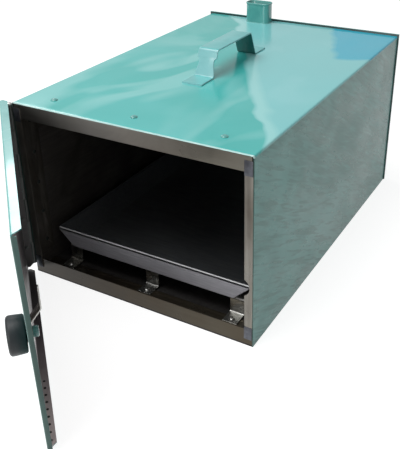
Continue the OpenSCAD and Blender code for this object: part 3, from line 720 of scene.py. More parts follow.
# Painted shade: the sides take a darker, greyer copy of the top's teal, with painted reflection
# bands and streaks.
SHADED_SIDE_TEAL = Enamel("teal enamel on the sides", "#489289", "#74c2ba", patch=9.0,
                   rough=(0.22, 0.34), wave=0.0006, shine=0.04, bands=0.14, ripple=0.0004,
                   mirror=0.26)
TEAL = Enamel("teal enamel", "#5ab0ac", "#68bcb8")
# The handle's teal comes in three copies: a paler one overall as painted light, a deeper one on
# faces that look up, and painted shade on the rear leg's front.
STRAP_TEAL = Enamel("teal enamel on the handle", "#7ebabc", "#8ec8ca")
DOOR_TEAL = Enamel("glossy enamel on the door", "#62b2ae", "#70beba", shine=0.7, mirror=0.65)
GRIP_TEAL = Enamel("teal enamel on the grip", "#5cb8b8", "#6cc6c6")
SHADE_TEAL = Enamel("enamel under the handle", "#245c58", "#2e6864", rough=(0.2, 0.3), shine=0.1)
EDGE_TEAL = Enamel("dull edge enamel", "#30504a", "#446660", grain=300.0, relief=0.00002,
                   rough=(0.3, 0.45), wave=0.0001, shine=0.15)
DULL_TEAL = Enamel("thick enamel", "#46928e", "#5aa6a0", patch=40.0, grain=500.0, relief=0.00003,
                   rough=(0.12, 0.22), wave=0.0002, shine=0.5)
# Painted shadow on the rear panel's front faces.
PAINTED_SHADOW_TEAL = Enamel("shaded enamel", "#122c2a", "#1a3834", rough=(0.4, 0.5), wave=0.0001,
                   shine=0.05)
# Painted shade: the hinges take a near-black grey for the shade at the hinge side.
SHADED_HINGE = Enamel("hinge enamel", "#2c3230", "#383e3a", patch=60.0, grain=500.0, relief=0.00003,
                    rough=(0.4, 0.5), wave=0.0001, shine=0.1)
ALONG_X, ALONG_Z = (1.0, 14.0, 14.0), (14.0, 14.0, 1.0)  # Rolled grain along that axis.
# The top rail's tones are painted reflection and light: dark at the left, where the open door is
# mirrored, brightest in the middle, darker at the right.
BARE_TOP = Steel("bare rolled steel", "#928e86", "#aaa69e", patch=16.0, grain=26.0,
                 rough=(0.26, 0.38), stretch=ALONG_X, tint="#706a60", stain=0.35,
                 tones=Tones((1.0, 0.0, 0.0), -0.16, 0.16, ((0.0, "#40403e"), (0.17, "#7e7d79"),
                 (0.36, "#ccc9c3"), (0.52, "#cec9c0"), (0.68, "#a09c92"), (0.84, "#646258"),
                 (1.0, "#54524a"))))
# The bottom rail's tones are painted shade: darkest at the left, lighter towards the right.
BARE_LOW = Steel("brown rolled steel", "#6c6558", "#827b6d", patch=16.0, grain=26.0,
                 rough=(0.24, 0.36), stretch=ALONG_X, tint="#504638", stain=0.75,
                 tones=Tones((1.0, 0.0, 0.0), -0.16, 0.16, ((0.0, "#26211d"), (0.35, "#2e2822"),
                 (0.7, "#4b453a"), (1.0, "#504a3e"))))
BARE_UPRIGHT = Steel("bare upright steel", "#7c7871", "#908c84", patch=16.0, grain=26.0,
                     rough=(0.24, 0.36), stretch=ALONG_Z, tint="#625a50", stain=0.7)
TAB = Steel("corner tab steel", "#54575f", "#6c6f77", rough=(0.35, 0.5), metal=0.6,
            tint="#424044", stain=0.6)
TAB_EDGE = Finish("corner tab edge", "#1a1a1c", "#242426", rough=(0.6, 0.7))
INSIDE = Steel("smoked steel", "#625e5a", "#76716c", patch=12.0, grain=22.0, rough=(0.34, 0.55),
               stretch=(12.0, 1.0, 12.0), metal=0.6, tint="#423e38", stain=0.8)
# The door's inside tones are painted shade and light: dark at the hinge end, up to a near-white
# painted highlight at the free end.
DOOR_INSIDE = Steel("bare door steel", "#706869", "#8c8484", patch=22.0, grain=30.0,
                    rough=(0.34, 0.5), stretch=(4.0, 4.0, 12.0), metal=0.25, tint="#4a4444",
                    stain=0.4, tones=Tones((0.0, -1.0, 0.0), 0.24, 0.455, ((0.0, "#343636"),
                    (0.4, "#544e52"), (0.65, "#968e90"), (1.0, "#eee2e0"))))
# Painted light and shade on the tray: a darker floor and sides, a paler and less metallic front
# wall, and a near-white painted highlight on the front hem.
TRAY = Steel("tray steel", "#808488", "#969a9e", patch=9.0, grain=40.0, relief=0.000006,
             rough=(0.34, 0.46), stretch=(1.0, 16.0, 16.0), metal=0.7, stain=0.4)
TRAY_FRONT_LIT = Steel("tray front steel", "#b8b8be", "#cecdd4", patch=9.0, grain=40.0,
                   relief=0.000006, rough=(0.34, 0.46), stretch=(1.0, 16.0, 16.0), metal=0.1,
                   tint="#a6a4ac")
TRAY_EDGE_HIGHLIGHT = Steel("bright tray edge", "#f4f6f8", "#fcfdfe", relief=0.000004, rough=(0.25, 0.35),
                  metal=0.0, tint="#d6dae0", stain=0.2)
BRIGHT = Steel("bright steel", "#a0a09c", "#c8c8c4", grain=260.0, relief=0.000008,
               rough=(0.2, 0.38), stretch=(1.0, 1.0, 8.0), metal=0.95, tint="#78746e", stain=0.5)
DARK = Steel("oxidised steel", "#2a2828", "#3a3836", grain=300.0, relief=0.00003,
             rough=(0.45, 0.65), metal=0.4, tint="#1e1b19", stain=0.7)
PHENOLIC = Finish("dark phenolic", "#0c1317", "#12191d", patch=90.0, grain=900.0)
BRASS = Steel("brass", "#b28e4e", "#cca862", patch=80.0, grain=300.0, rough=(0.22, 0.4),
              metal=1.0, tint="#785c32", stain=0.6)
CERAMIC = Finish("ceramic", "#d6d0c2", "#e8e3d6", patch=200.0, grain=800.0, relief=0.00002,
                 rough=(0.35, 0.5))
SLEEVE = Braid("woven sleeve", "#783428", "#be6c54", grain=900.0, relief=0.0002)


class RowTree(Nodes):
    """The tree that repeats one shape along a line."""

    def __init__(self) -> None:
        """Builds the tree."""
        super().__init__(bpy.data.node_groups.new("row of one shape", "GeometryNodeTree"))
        new_socket = self.tree.interface.new_socket
        for name, kind in (("Shape", "Object"), ("Count", "Int"), ("Start", "Vector"),
                           ("Step", "Vector"), ("Spin", "Vector"), ("Finish", "Material")):
            new_socket(name, in_out="INPUT", socket_type="NodeSocket" + kind)
        new_socket("Geometry", in_out="OUTPUT", socket_type="NodeSocketGeometry")
        given = self.add("NodeGroupInput").outputs
        points = self.add("GeometryNodeMeshLine", {
            "Count": given["Count"], "Start Location": given["Start"], "Offset": given["Step"]})
        shape = self.add("GeometryNodeObjectInfo", {"Object": given["Shape"]})
        share = self.add("FunctionNodeRandomValue", {"Seed": 7}, data_type="FLOAT")
        turn = self.add("ShaderNodeVectorMath", {0: given["Spin"], "Scale": share.outputs[1]},
                        operation="SCALE")
        copies = self.add("GeometryNodeInstanceOnPoints", {
            "Points": points.outputs["Mesh"], "Instance": shape.outputs["Geometry"],
            "Rotation": turn.outputs[0]})
        real = self.add("GeometryNodeRealizeInstances", {"Geometry": copies.outputs["Instances"]})
        painted = self.add("GeometryNodeSetMaterial", {
            "Geometry": real.outputs["Geometry"], "Material": given["Finish"]})
        self.add("NodeGroupOutput", {"Geometry": painted.outputs["Geometry"]})

    def row(self, name: str, shape: Piece, finish: Finish, count: int, start: Vector,
            step: Vector, spin: Vector = Vector()) -> Piece:
        """Repeats a shape and bakes the row.

        Args:
            name: Name of the row.
            shape: Shape about the frame's origin, which is removed afterwards.
            finish: Finish of every copy.
            count: Number of copies.
            start: Place of the first copy, in metres.
            step: From one copy to the next.
            spin: Most that a copy is turned, in radians about each axis.

        Returns:
            The row as one object with a plain mesh.
        """
        host = shown(bpy.data.objects.new(name, bpy.data.meshes.new(name)))
        modifier = host.modifiers.new("row", "NODES")
        modifier.node_group = self.tree
        given = {"Shape": shape, "Count": count, "Start": start, "Step": step, "Spin": spin,
                 "Finish": finish.material()}
        for item in self.tree.interface.items_tree:
            if item.in_out == "INPUT":
                modifier[item.identifier] = given[item.name]
        baked(host)
        bpy.data.objects.remove(shape)
        return host


def coat(piece: Piece, finishes: Sequence[Finish],
         choose: Optional[Callable[[Face], int]] = None) -> Piece:
    """Gives a piece its finishes.

    Args:
        piece: A piece without any.
        finishes: Its finishes, in the order of its faces' material indices.
        choose: Gives each face its index, if they don't have one yet.

    Returns:
        The piece.
    """
    for finish in finishes:
        piece.data.materials.append(finish.material())
    if choose:
        for face in piece.data.polygons:
            face.material_index = choose(face)
    return piece


class Workshop:
    """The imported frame, and the ways in which a piece is fitted to it."""

    def __init__(self) -> None:
        """Loads the frame and keeps its box."""
        self.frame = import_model()
        self.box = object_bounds()
        self.rows = RowTree()

    def dress(self, finish: Finish, *nodes: str) -> None:
        """Gives construction nodes a finish."""
        for node in nodes:
            data = self.frame["nodes"][node].data
            data.materials.clear()
            data.materials.append(finish.material())

    def copy_of(self, node: str, width: float, segments: int = 2) -> Piece:
        """Copies a construction node, merges it and rounds its edges.

        Args:
            node: Name of the node.
            width: Width of the rounding in millimetres.
            segments: Faces across the rounding.

        Returns:
            The copy.
        """
        name = node + ".soft"
        data = self.frame["nodes"][node].data.copy()
        data.name = name
        data.materials.clear()
        mesh = bmesh.new()
        mesh.from_mesh(data)
        bmesh.ops.remove_doubles(mesh, verts=mesh.verts, dist=CAD_WELD)
        bmesh.ops.dissolve_limit(mesh, angle_limit=FLAT, verts=mesh.verts, edges=mesh.edges)
        mesh.to_mesh(data)
        mesh.free()
        return soften(shown(bpy.data.objects.new(name, data)), width, segments)

    def place(self, piece: Piece, body: Body, slot: Slot, *replaced: str) -> None:
        """Fits a piece to the frame.

        Args:
            piece: The finished piece.
            body: The body that it rides on.
            slot: The record's material slot; not used.
            *replaced: Construction nodes that it replaces.
        """
        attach(piece, body.value)
        if replaced:
            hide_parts(*replaced)
        log.info("%s on %s: %d faces", piece.name, body.value, len(piece.data.polygons))

    def copies(self, body: Body, slot: Slot, finish: Finish, width: float, *nodes: str) -> None:
        """Replaces nodes by their own copies with rounded edges and one finish."""
        for node in nodes:
            self.place(coat(self.copy_of(node, width), [finish]), body, slot, node)


def at(x: float, y: float, z: float) -> Vector:
    """Returns a point, given in millimetres from the casing's corner, in the frame."""
    return (Vector((x, y, z)) - MIDDLE) * MM


class Side(IntEnum):
    """The parts of the casing's folded sheet."""

    LEFT = 0
    TOP = 1
    RIGHT = 2
    FOLD = 3


@dataclass
class Casing:
    """The folded sheet, its rivets, the floor and the hemmed rear panel.

    Quiet spots, as x, y and reach, have no dents: feet, vent and rivets. Rolled are the
    rows of points across the front edge's roll.
    """

    shop: Workshop
    width: float = 320.0
    depth: float = 470.0
    height: float = 238.0
    sheet: float = 1.2
    fold: float = 2.6
    cell: float = 8.0
    dent: float = 0.45
    broad: Pair = (95.0, 125.0)
    small: Pair = (38.0, 60.0)
    roll: float = 0.9
    rolled: tuple[float, ...] = (0.0, 0.5, 1.1, 1.9, 3.0)
    # Depth behind the front within which the top's edge takes the painted highlight, in millimetres.
    highlit_edge: float = 1.5
    rivet: Pair = (41.0, 28.0)
    rivet_pitch: float = 115.0
    quiet: tuple[Triple, ...] = (
        (157.5, 160.0, 34.0), (157.5, 310.0, 34.0), (96.0, 457.0, 30.0), (41.0, 28.0, 9.0),
        (156.0, 28.0, 9.0), (271.0, 28.0, 9.0))

    def build(self) -> None:
        """Makes the casing's pieces."""
        self.wrap()
        self.rivets()
        # The rear panel's faces that look forward, the lip over the top and the back wall inside,
        # take painted shadow.
        rear = coat(self.shop.copy_of("rear_panel", 0.5, 3), (TEAL, PAINTED_SHADOW_TEAL),
                    lambda face: int(face.normal.y < -0.9))
        self.shop.place(rear, Body.CASING, Slot.ENAMEL, "rear_panel")
        self.shop.copies(Body.CASING, Slot.DARK, DARK, 0.3, "floor_panel")

    def section(self) -> list[tuple[float, float, Side]]:
        """Returns the sheet's outside from the left foot over the top, with each point's side."""
        w, h, r = self.width, self.height, self.fold
        left = [(0.0, z, Side.LEFT) for z in spread(0, h - r, self.cell)]
        top = [(x, h, Side.TOP) for x in spread(r, w - r, self.cell)]
        right = [(w, z, Side.RIGHT) for z in reversed(spread(0, h - r, self.cell))]
        first = [(x, z, Side.FOLD) for x, z in arc((r, h - r), r, 180, 90, 8)[1:-1]]
        last = [(x, z, Side.FOLD) for x, z in arc((w - r, h - r), r, 90, 0, 8)[1:-1]]
        return left + first + top + last + right

    def depth_at(self, x: float, y: float, z: float, side: Side) -> float:
        """Returns how far inwards the sheet lies at a point.

        Args:
            x: Distance from the left side.
            y: Distance behind the front.
            z: Height.
            side: The part of the sheet.

        Returns:
            The depth of the dent in millimetres.
        """
        if side is Side.FOLD:
            return 0.0
        across, span = (x, self.width) if side is Side.TOP else (z, self.height)
        calm = smooth_step(2, 34, min(across, span - across, y, self.depth - y))
        if side is Side.TOP:
            for cx, cy, reach in self.quiet:
                calm *= smooth_step(0.55 * reach, 1.5 * reach, math.hypot(x - cx, y - cy))
        broad = noise.noise(Vector((across / self.broad[0], y / self.broad[1], 3.1 * side)))
        small = noise.noise(Vector((across / self.small[0], y / self.small[1], 7.7 + side)))
        return self.dent * calm * min(max(0.5 + 0.75 * broad + 0.25 * small, 0.0), 1.0)

    def point(self, x: float, y: float, z: float, side: Side) -> Vector:
        """Returns a point of the sheet with its dent and the roll of the top's front edge."""
        dent = self.depth_at(x, y, z, side)
        if side is Side.TOP:
            dent += self.roll * max(0.0, 1 - y / self.rolled[-1]) ** 2
        inward = (dent, 0, 0), (0, 0, -dent), (-dent, 0, 0), (0, 0, 0)
        return Vector((x, y, z)) + Vector(inward[side])

    def layer(self, face: Face) -> int:
        """Returns 0 for a face of the top, 1 for one of a side and 2 for the front edge, which
        carries a painted highlight.
        """
        if face.center.z < (self.height - self.fold) * MM:
            return 1
        return 2 if depth_of(face) < self.highlit_edge else 0

    def wrap(self) -> None:
        """Makes the folded sheet with the hole for the vent."""
        draft = Draft()
        rows = [[draft.mesh.verts.new(self.point(x, y, z, side)) for x, z, side in self.section()]
                for y in [*self.rolled, *spread(self.cell, self.depth, self.cell)]]
        for near, far in zip(rows, rows[1:]):
            draft.skin(near, far)
        sheet = draft.finish("casing_sheet", outward=MIDDLE + Vector((0, 0, 100)))
        coat(sheet, (TOP_TEAL, SHADED_SIDE_TEAL, TOP_EDGE_HIGHLIGHT, INSIDE, INSIDE, INSIDE,
                     TOP_TEAL, EDGE_TEAL, TOP_EDGE_HIGHLIGHT), self.layer)
        walled(sheet, self.sheet, 3, 6)
        vent = Vent(self.shop)
        outline = [(vent.x + a, vent.y + b) for a, b in
                   oval(vent.width + vent.slack, vent.depth + vent.slack, vent.radius)]
        carve(sheet, Draft().prism(outline, self.height - 8, 20, Axis.Z).finish("vent_hole"))
        self.shop.place(soften(sheet, 0.3, 2, 60), Body.CASING, Slot.ENAMEL, "casing_wrap")

    def rivets(self) -> None:
        """Makes the row of domed rivets in the top."""
        tail = [(4.3, -0.4), (2.0, -0.4), (2.0, -2.7), (3.0, -2.7), (3.0, -3.5), (0.0, -3.5)]
        shape = turned("rivet", dome(4.3, 1.9, 8) + tail, 32)
        row = self.shop.rows.row("top_rivet_row", shape, DULL_TEAL, 3,
                                 at(*self.rivet, self.height), Vector((self.rivet_pitch * MM, 0, 0)))
        self.shop.place(row, Body.CASING, Slot.ENAMEL, "top_rivets")


@dataclass
class FrontFrame:
    """The angles round the mouth, with a tab at each end of the stiles."""

    shop: Workshop
    tab_face: float = -0.1

    def build(self) -> None:
        """Makes the rails and the stiles."""
        self.shop.copies(Body.CASING, Slot.BARE, BARE_TOP, 0.5, "frame_top_rail")
        self.shop.copies(Body.CASING, Slot.BARE, BARE_LOW, 0.5, "frame_bottom_rail")
        for node in ("frame_left_stile", "frame_right_stile"):
            stile = coat(self.shop.copy_of(node, 0.3), (BARE_UPRIGHT, TAB, TAB_EDGE), self.layer)
            self.shop.place(stile, Body.CASING, Slot.BARE, node)

    def layer(self, face: Face) -> int:
        """Returns 0 for a face of the stile, 1 for a tab's face and 2 for its edge."""
        if depth_of(face) >= self.tab_face:
            return 0
        return 2 if abs(face.normal.y) < 0.5 else 1


@dataclass
class CarryHandle:
    """A strap bent into a bridge whose front leg has a waist, between two notches."""

    shop: Workshop
    middle: Pair = (157.5, 237.0)
    top: float = 238.0
    rise: float = 34.5
    width: float = 28.0
    thickness: float = 2.0
    grip: float = 90.0
    lean: float = 13.5
    foot: float = 30.0
    bend: float = 4.0
    notch: float = 3.4
    waist: float = 10.9
    waist_at: float = 0.58
    step: float = 0.8

    def half_width(self, y: float, z: float) -> float:
        """Returns half the strap's width where its middle line is at y and z."""
        full = self.width / 2
        foot_z, waist_z = self.top + self.thickness, self.top + self.rise * self.waist_at
        if y > self.middle[1] - self.grip / 2 or z > waist_z + self.notch:
            return full
        if abs(z - waist_z) < self.notch:
            cut = full + 0.3 - math.sqrt(self.notch ** 2 - (z - waist_z) ** 2)
            return min(full, cut) if z > waist_z else min(self.waist, cut)
        flare = smooth_step(0.1, 1.0, (waist_z - z) / (waist_z - foot_z))
        return min(full, self.waist + (full - self.waist) * flare)

    def layer(self, face: Face) -> int:
        """Returns 1 for a face of the rear leg's front, which takes painted shade, 2 for one that
        looks up, else 0.
        """
        if depth_of(face) > self.middle[1] + self.grip / 2 - 1 and face.normal.y < -0.3:
            return 1
        return 2 if face.normal.z > 0.8 else 0

    def build(self) -> None:
        """Makes the strap."""
        x0, y0 = self.middle
        foot_z = self.top + self.thickness / 2
        grip_z = self.top + self.rise - self.thickness / 2
        half, reach = self.grip / 2, self.grip / 2 + self.lean
        corners = [(-reach - self.foot, foot_z), (-reach, foot_z), (-half, grip_z),
                   (half, grip_z), (reach, foot_z), (reach + self.foot, foot_z)]
        path = rounded_path(corners, self.bend, 10)
        points = [path[0]]
        for a, b in zip(path, path[1:]):
            count = max(1, round((b - a).length / self.step))
            points += [a.lerp(b, i / count) for i in range(1, count + 1)]
        rings = []
        for point, side in zip(points, sides_of(points)):
            outline = oval(2 * self.half_width(point.x + y0, point.y), self.thickness, 0.55, 3)
            rings.append([Vector((x0 + a, y0 + point.x + side.x * b, point.y + side.y * b))
                          for a, b in outline])
        strap = soften(Draft().loft(rings).finish("handle_strap"), 0)
        self.shop.place(coat(strap, (STRAP_TEAL, SHADE_TEAL, GRIP_TEAL), self.layer),
                        Body.CASING, Slot.ENAMEL, "carry_handle")


@dataclass
class Vent:
    """The oval pipe that stands on the top, with a rolled rim and a bead of weld."""

    shop: Workshop
    x: float = 96.0
    y: float = 457.5
    width: float = 40.0
    depth: float = 22.0
    radius: float = 8.0
    wall: float = 1.2
    low: float = 235.8
    high: float = 269.0
    bead: float = 0.8
    lip: float = 1.5
    slack: float = 0.1
    weld: tuple[Pair, ...] = ((0.0, 238.9), (0.45, 238.7), (0.9, 237.9), (0.0, 237.6))

    def solid(self, levels: Sequence[Pair], name: str, limit: float) -> Piece:
        """Returns a closed ring round the pipe, lofted through levels of margin and height."""
        rings = [[Vector((self.x + a, self.y + b, z)) for a, b in
                  oval(self.width + 2 * grow, self.depth + 2 * grow, self.radius + grow)]
                 for grow, z in levels]
        return coat(soften(Draft().loft(rings, closed=True).finish(name), 0, limit=limit),
                    [DULL_TEAL])

    def build(self) -> None:
        """Makes the pipe and its weld."""
        angles = [math.radians(-90 + 180 * i / 10) for i in range(11)]
        rim = [(self.bead * math.cos(a), self.high - self.lip + self.lip * math.sin(a))
               for a in angles]
        levels = [(0.0, self.low), (0.0, self.high - 3.4), *rim, (0.3 - self.wall, self.high),
                  (-self.wall, self.high - 0.4), (-self.wall, self.low)]
        self.shop.place(self.solid(levels, "vent_tube", 50), Body.CASING, Slot.ENAMEL,
                        "vent_pipe")
        self.shop.place(self.solid(self.weld, "vent_weld", 35), Body.CASING, Slot.ENAMEL)


@dataclass(frozen=True)
class StripRow:
    """A row of bent strips: its names, its place, the way its feet point, and its height."""

    name: str
    node: str
    y: float
    z: float
    way: int
    rise: float


@dataclass
class TrayAndBrackets:
    """The loose tray, the bent strips that carry it, and their fasteners."""

    shop: Workshop
    left: float = 12.5
    front: float = 36.5
    low: float = 27.8
    width: float = 284.0
    length: float = 400.0
    height: float = 24.5
    lean: float = 22.0
    rim: float = 4.0
    sheet: float = 1.0
    hem: float = 2.2
    pitch: float = 122.0
    first: float = 34.0
    strip_sheet: float = 1.5
    strip_width: float = 19.0
    strip_bend: float = 3.6
    strip_foot: float = 21.0
    strip_head: float = 18.0
    strips: tuple[StripRow, ...] = (
        StripRow("front_strips", "front_brackets", 42.0, 3.5, 1, 24.0),
        StripRow("rear_strips", "rear_brackets", 377.5, 2.0, -1, 25.5))

    def build(self) -> None:
        """Makes the tray, the brackets, the screws and the rivets."""
        self.tray()
        self.brackets()
        self.fasteners()

    def layer(self, face: Face) -> int:
        """Returns 2 for a face of the front hem's top, which takes a painted highlight, 1 for the
        rest of the front, which is painted lighter, else 0.
        """
        if depth_of(face) >= self.front + self.hem / 2 + 0.1:
            return 0
        return 2 if face.center.z / MM > self.low + self.height - self.hem * 0.8 else 1

    def tray(self) -> None:
        """Makes the trough, its end walls and their hems."""
        half, r = self.sheet / 2, self.hem / 2
        w, h = self.width, self.height
        middle = [(half, h), (half, h - self.rim), (self.lean, half), (w - self.lean, half),
                  (w - half, h - self.rim), (w - half, h)]
        outline = [(a + self.left, b + self.low) for a, b in strip(middle, self.sheet, 2.0)]
        draft = Draft().prism(outline, self.front, self.length, Axis.Y)
        wall = [(0, h - r), (0, h - self.rim), (self.lean, 0), (w - self.lean, 0),
                (w, h - self.rim), (w, h - r)]
        wall = [(a + self.left, b + self.low) for a, b in wall]
        for y in (self.front, self.front + self.length - self.sheet):
            draft.prism(wall, y, self.sheet, Axis.Y)
        top = self.low + h
        for y in (self.front, self.front + self.length - self.hem):
            hem = [(y, top - self.rim), (y + self.hem, top - self.rim)]
            hem += arc((y + r, top - r), r, 0, 180, 8)
            draft.prism(hem, self.left + half, w - self.sheet, Axis.X)
        tray = soften(draft.finish("steel_tray"), 0.35, 3, 30)
        self.shop.place(coat(tray, (TRAY, TRAY_FRONT_LIT, TRAY_EDGE_HIGHLIGHT), self.layer), Body.TRAY,
                        Slot.TRAY, "tray_pan")

    def row(self, name: str, shape: Piece, y: float, z: float, node: str,
            spin: Vector = Vector()) -> None:
        """Repeats a bright shape at each bracket of a row, for the node that it stands for."""
        row = self.shop.rows.row(name, shape, BRIGHT, 3, at(self.first, y, z),
                                 Vector((self.pitch * MM, 0, 0)), spin)
        self.shop.place(row, Body.CASING, Slot.BRIGHT, node)

    def brackets(self) -> None:
        """Makes the bent strips."""
        half = self.strip_sheet / 2
        for each in self.strips:
            path = [(-self.strip_foot * each.way, half), (0.0, half), (0.0, each.rise - half),
                    (self.strip_head * each.way, each.rise - half)]
            shape = Draft().prism(strip(path, self.strip_sheet, self.strip_bend),
                                  -self.strip_width / 2, self.strip_width, Axis.X)
            shape = soften(shape.finish("bracket", origin=True), 0.3, 2, 50)
            self.row(each.name, shape, each.y, each.z, each.node)

    def fasteners(self) -> None:
        """Makes the front strips' cross-slotted screws and the rear strips' rivets."""
        shank = [(2.0, 0.0), (2.0, -4.4), (0.0, -4.4)]
        head = turned("screw", dome(3.8, 2.0, 7) + shank, 32)
        a, b = 2.1, 0.45  # The slots' half length and half width.
        cross = [(-a, -b), (-b, -b), (-b, -a), (b, -a), (b, -b), (a, -b),
                 (a, b), (b, b), (b, a), (-b, a), (-b, b), (-a, b)]
        carve(head, Draft().prism(cross, 0.8, 2.0, Axis.Z).finish("cross", origin=True))
        self.row("strip_screws", head, 28, 5, "bracket_screws", Vector((0, 0, 3)))
        tail = [(1.5, 0.0), (1.5, -2.9), (0.0, -2.9)]
        self.row("strip_rivets", turned("rivet", dome(3.0, 1.1, 6) + tail, 24), 390.1, 3.5,
                 "bracket_rivets")


@dataclass
class Door:
    """The folded pan, drawn on the closed door, with its hinges.

    The top and bottom folds are mitred at the free side, whose own fold is less deep (edge),
    and cut back by the relief at the hinge side.
    """

    shop: Workshop
    left: float = -0.5
    right: float = 314.0
    low: float = 3.5
    high: float = 242.0
    face: float = -10.7
    depth: float = 9.5
    sheet: float = 1.2
    fold: float = 1.7
    edge: float = 5.0
    mitre: float = 8.5
    relief: float = 5.0
    cell: float = 9.0
    dent: float = 0.35
    knob: Pair = (267.0, 109.0)
    mark: float = 219.0
    mark_pitch: float = 10.4

    def build(self) -> None:
        """Makes the pan and its hinges."""
        self.pan()
        self.marks()
        copies = self.shop.copies
        copies(Body.CASING, Slot.ENAMEL, SHADED_HINGE, 0.15, "hinge_casing_leaf",
               "hinge_casing_rivets")
        copies(Body.CASING, Slot.BRIGHT, BRIGHT, 0.2, "hinge_pin")
        copies(Body.DOOR, Slot.ENAMEL, SHADED_HINGE, 0.15, "hinge_door_leaf",
               "hinge_door_rivets")

    def fold_rows(self, depth: float) -> list[Pair]:
        """Returns the depth and inset of the points round a fold and down its flange."""
        r = self.fold
        bend = [(r - r * math.cos(a), r - r * math.sin(a)) for a in
                (math.radians(90 * i / 6) for i in range(7))]
        return bend + [(d, 0.0) for d in (depth - self.relief, depth) if d > r]

    def pan(self) -> None:
        """Makes the pan as one sheet with a wall."""
        draft = Draft()
        r, new = self.fold, draft.mesh.verts.new
        xs = spread(self.left + r, self.right - r, self.cell)
        zs = spread(self.low + r, self.high - r, self.cell)

        def dent(x: float, z: float) -> float:
            """Returns how far inwards the face lies at a point."""
            edge = min(x - xs[0], xs[-1] - x, z - zs[0], zs[-1] - z)
            away = math.hypot(x - self.knob[0], z - self.knob[1])
            calm = smooth_step(0, 30, edge) * smooth_step(10, 40, away)
            return self.dent * calm * min(max(0.5 + noise.noise(Vector((x / 90, z / 90, 5))),
                                              0), 1)

        grid = [[new((x, self.face + dent(x, z), z)) for x in xs] for z in zs]
        for low, high in zip(grid, grid[1:]):
            draft.skin(low, high)
        for sign, line, flat in ((-1, grid[0], self.low), (1, grid[-1], self.high)):
            self.flange(draft, line, self.depth,
                        lambda s, d, n, k=sign, f=flat: Vector(
                            (self.span(s, d), self.face + d, f - k * n)))
        self.flange(draft, [row[0] for row in grid], self.depth,
                    lambda s, d, n: Vector((self.left + n, self.face + d, self.stand(s, d))))
        self.flange(draft, [row[-1] for row in grid], self.edge,
                    lambda s, d, n: Vector((self.right - n, self.face + d, s)))
        for face in draft.mesh.faces:
            face.material_index = int(face.calc_center_median().x > self.right - 1.0)
        sheet = draft.finish("door_sheet", on_door=True, outward=Vector((160, 30, 120)))
        coat(sheet, (DOOR_TEAL, EDGE_TEAL, DOOR_INSIDE, DOOR_INSIDE))
        walled(sheet, self.sheet, 2)
        self.shop.place(soften(sheet, 0.25, 2, 60), Body.DOOR, Slot.ENAMEL, "door_pan")

    def span(self, x: float, depth: float) -> float:
        """Returns x on a top or bottom fold, held inside its mitre and its relief."""
        start = self.left + max(0.0, depth - self.depth + self.relief)
        end = self.right - self.mitre * depth / self.depth
        first, last = self.left + self.fold, self.right - self.fold
        low = max(start, first) if depth < self.fold else start
        return low + (min(end, last) - low) * (x - first) / (last - first)

    def stand(self, z: float, depth: float) -> float:
        """Returns z on the hinge side's fold, held inside its reliefs."""
        if depth < self.fold:
            return z
        cut = self.relief + max(0.0, depth - self.depth / 2)
        low, high = self.low + cut, self.high - cut
        first, last = self.low + self.fold, self.high - self.fold
        return low + (high - low) * (z - first) / (last - first)

    def flange(self, draft: Draft, line: list[bmesh.types.BMVert], depth: float,
               point: Callable[[float, float, float], Vector]) -> None:
        """Adds a fold and its flange along one side of the face.

        Args:
            draft: The pan.
            line: The face's points along that side.
            depth: Depth of the flange behind the face.
            point: Gives the place of a point from its place along the side, depth and inset.
        """
        along_x = abs(line[0].co.z - line[-1].co.z) < 1
        before = line
        for down, inset in self.fold_rows(depth)[1:]:
            row = [draft.mesh.verts.new(point(v.co.x if along_x else v.co.z, down, inset))
                   for v in line]
            draft.skin(before, row)
            before = row

    def marks(self) -> None:
        """Makes the row of small press marks where the bottom fold meets the face."""
        shape = turned("mark", dome(1.5, 1.0, 4) + [(0.0, -0.2)], 12)
        turn = Matrix.Rotation(-DOOR_OPEN, 3, "Z")
        hinge = at(*HINGE_AXIS)
        first = at(self.mark, self.face + self.edge - 0.4, self.low + self.sheet)
        row = self.shop.rows.row("door_press_marks", shape, DARK, 9,
                                 hinge + turn @ (first - hinge),
                                 turn @ Vector((self.mark_pitch * MM, 0, 0)))
        self.shop.place(row, Body.DOOR, Slot.DARK)


@dataclass
class Latch:
    """The knob on the outside of the door and the tongue that it turns."""

    shop: Workshop
    x: float = 267.0
    z: float = 109.0
    face: float = -10.7
    radius: float = 19.0
    neck: float = 2.5
    thick: float = 17.0
    curve: float = 3.2

    def build(self) -> None:
        """Makes the knob and dresses the tongue, the nut, the washer and the spindle."""
        neck, top, r = self.neck, self.neck + self.thick, self.radius
        profile = [(0.0, top - 1.2), (6.0, top - 1.1), (11.0, top - 0.5),
                   *arc((r - self.curve, top - self.curve), self.curve, 90, 0, 8),
                   (r, top - 6.0), (r - 0.6, neck + 1.4), (r - 1.8, neck + 0.2), (10.0, neck),
                   (8.6, neck - 0.6), (8.0, neck - 1.2), (8.0, 0.3), (0.0, 0.3)]
        draft = Draft().lathe([(a, -h) for a, h in profile], Axis.Y, 96,
                              (self.x, self.face, self.z))
        knob = soften(draft.finish("turned_knob", on_door=True), 0, limit=50)
        shop = self.shop
        shop.place(coat(knob, [PHENOLIC]), Body.LATCH, Slot.PHENOLIC, "latch_knob")
        shop.copies(Body.LATCH, Slot.BRIGHT, BRIGHT, 0.25, "latch_tongue")
        shop.copies(Body.LATCH, Slot.ENAMEL, DULL_TEAL, 0.5, "latch_cap_nut")
        shop.dress(BRIGHT, "latch_spindle", "latch_washer")


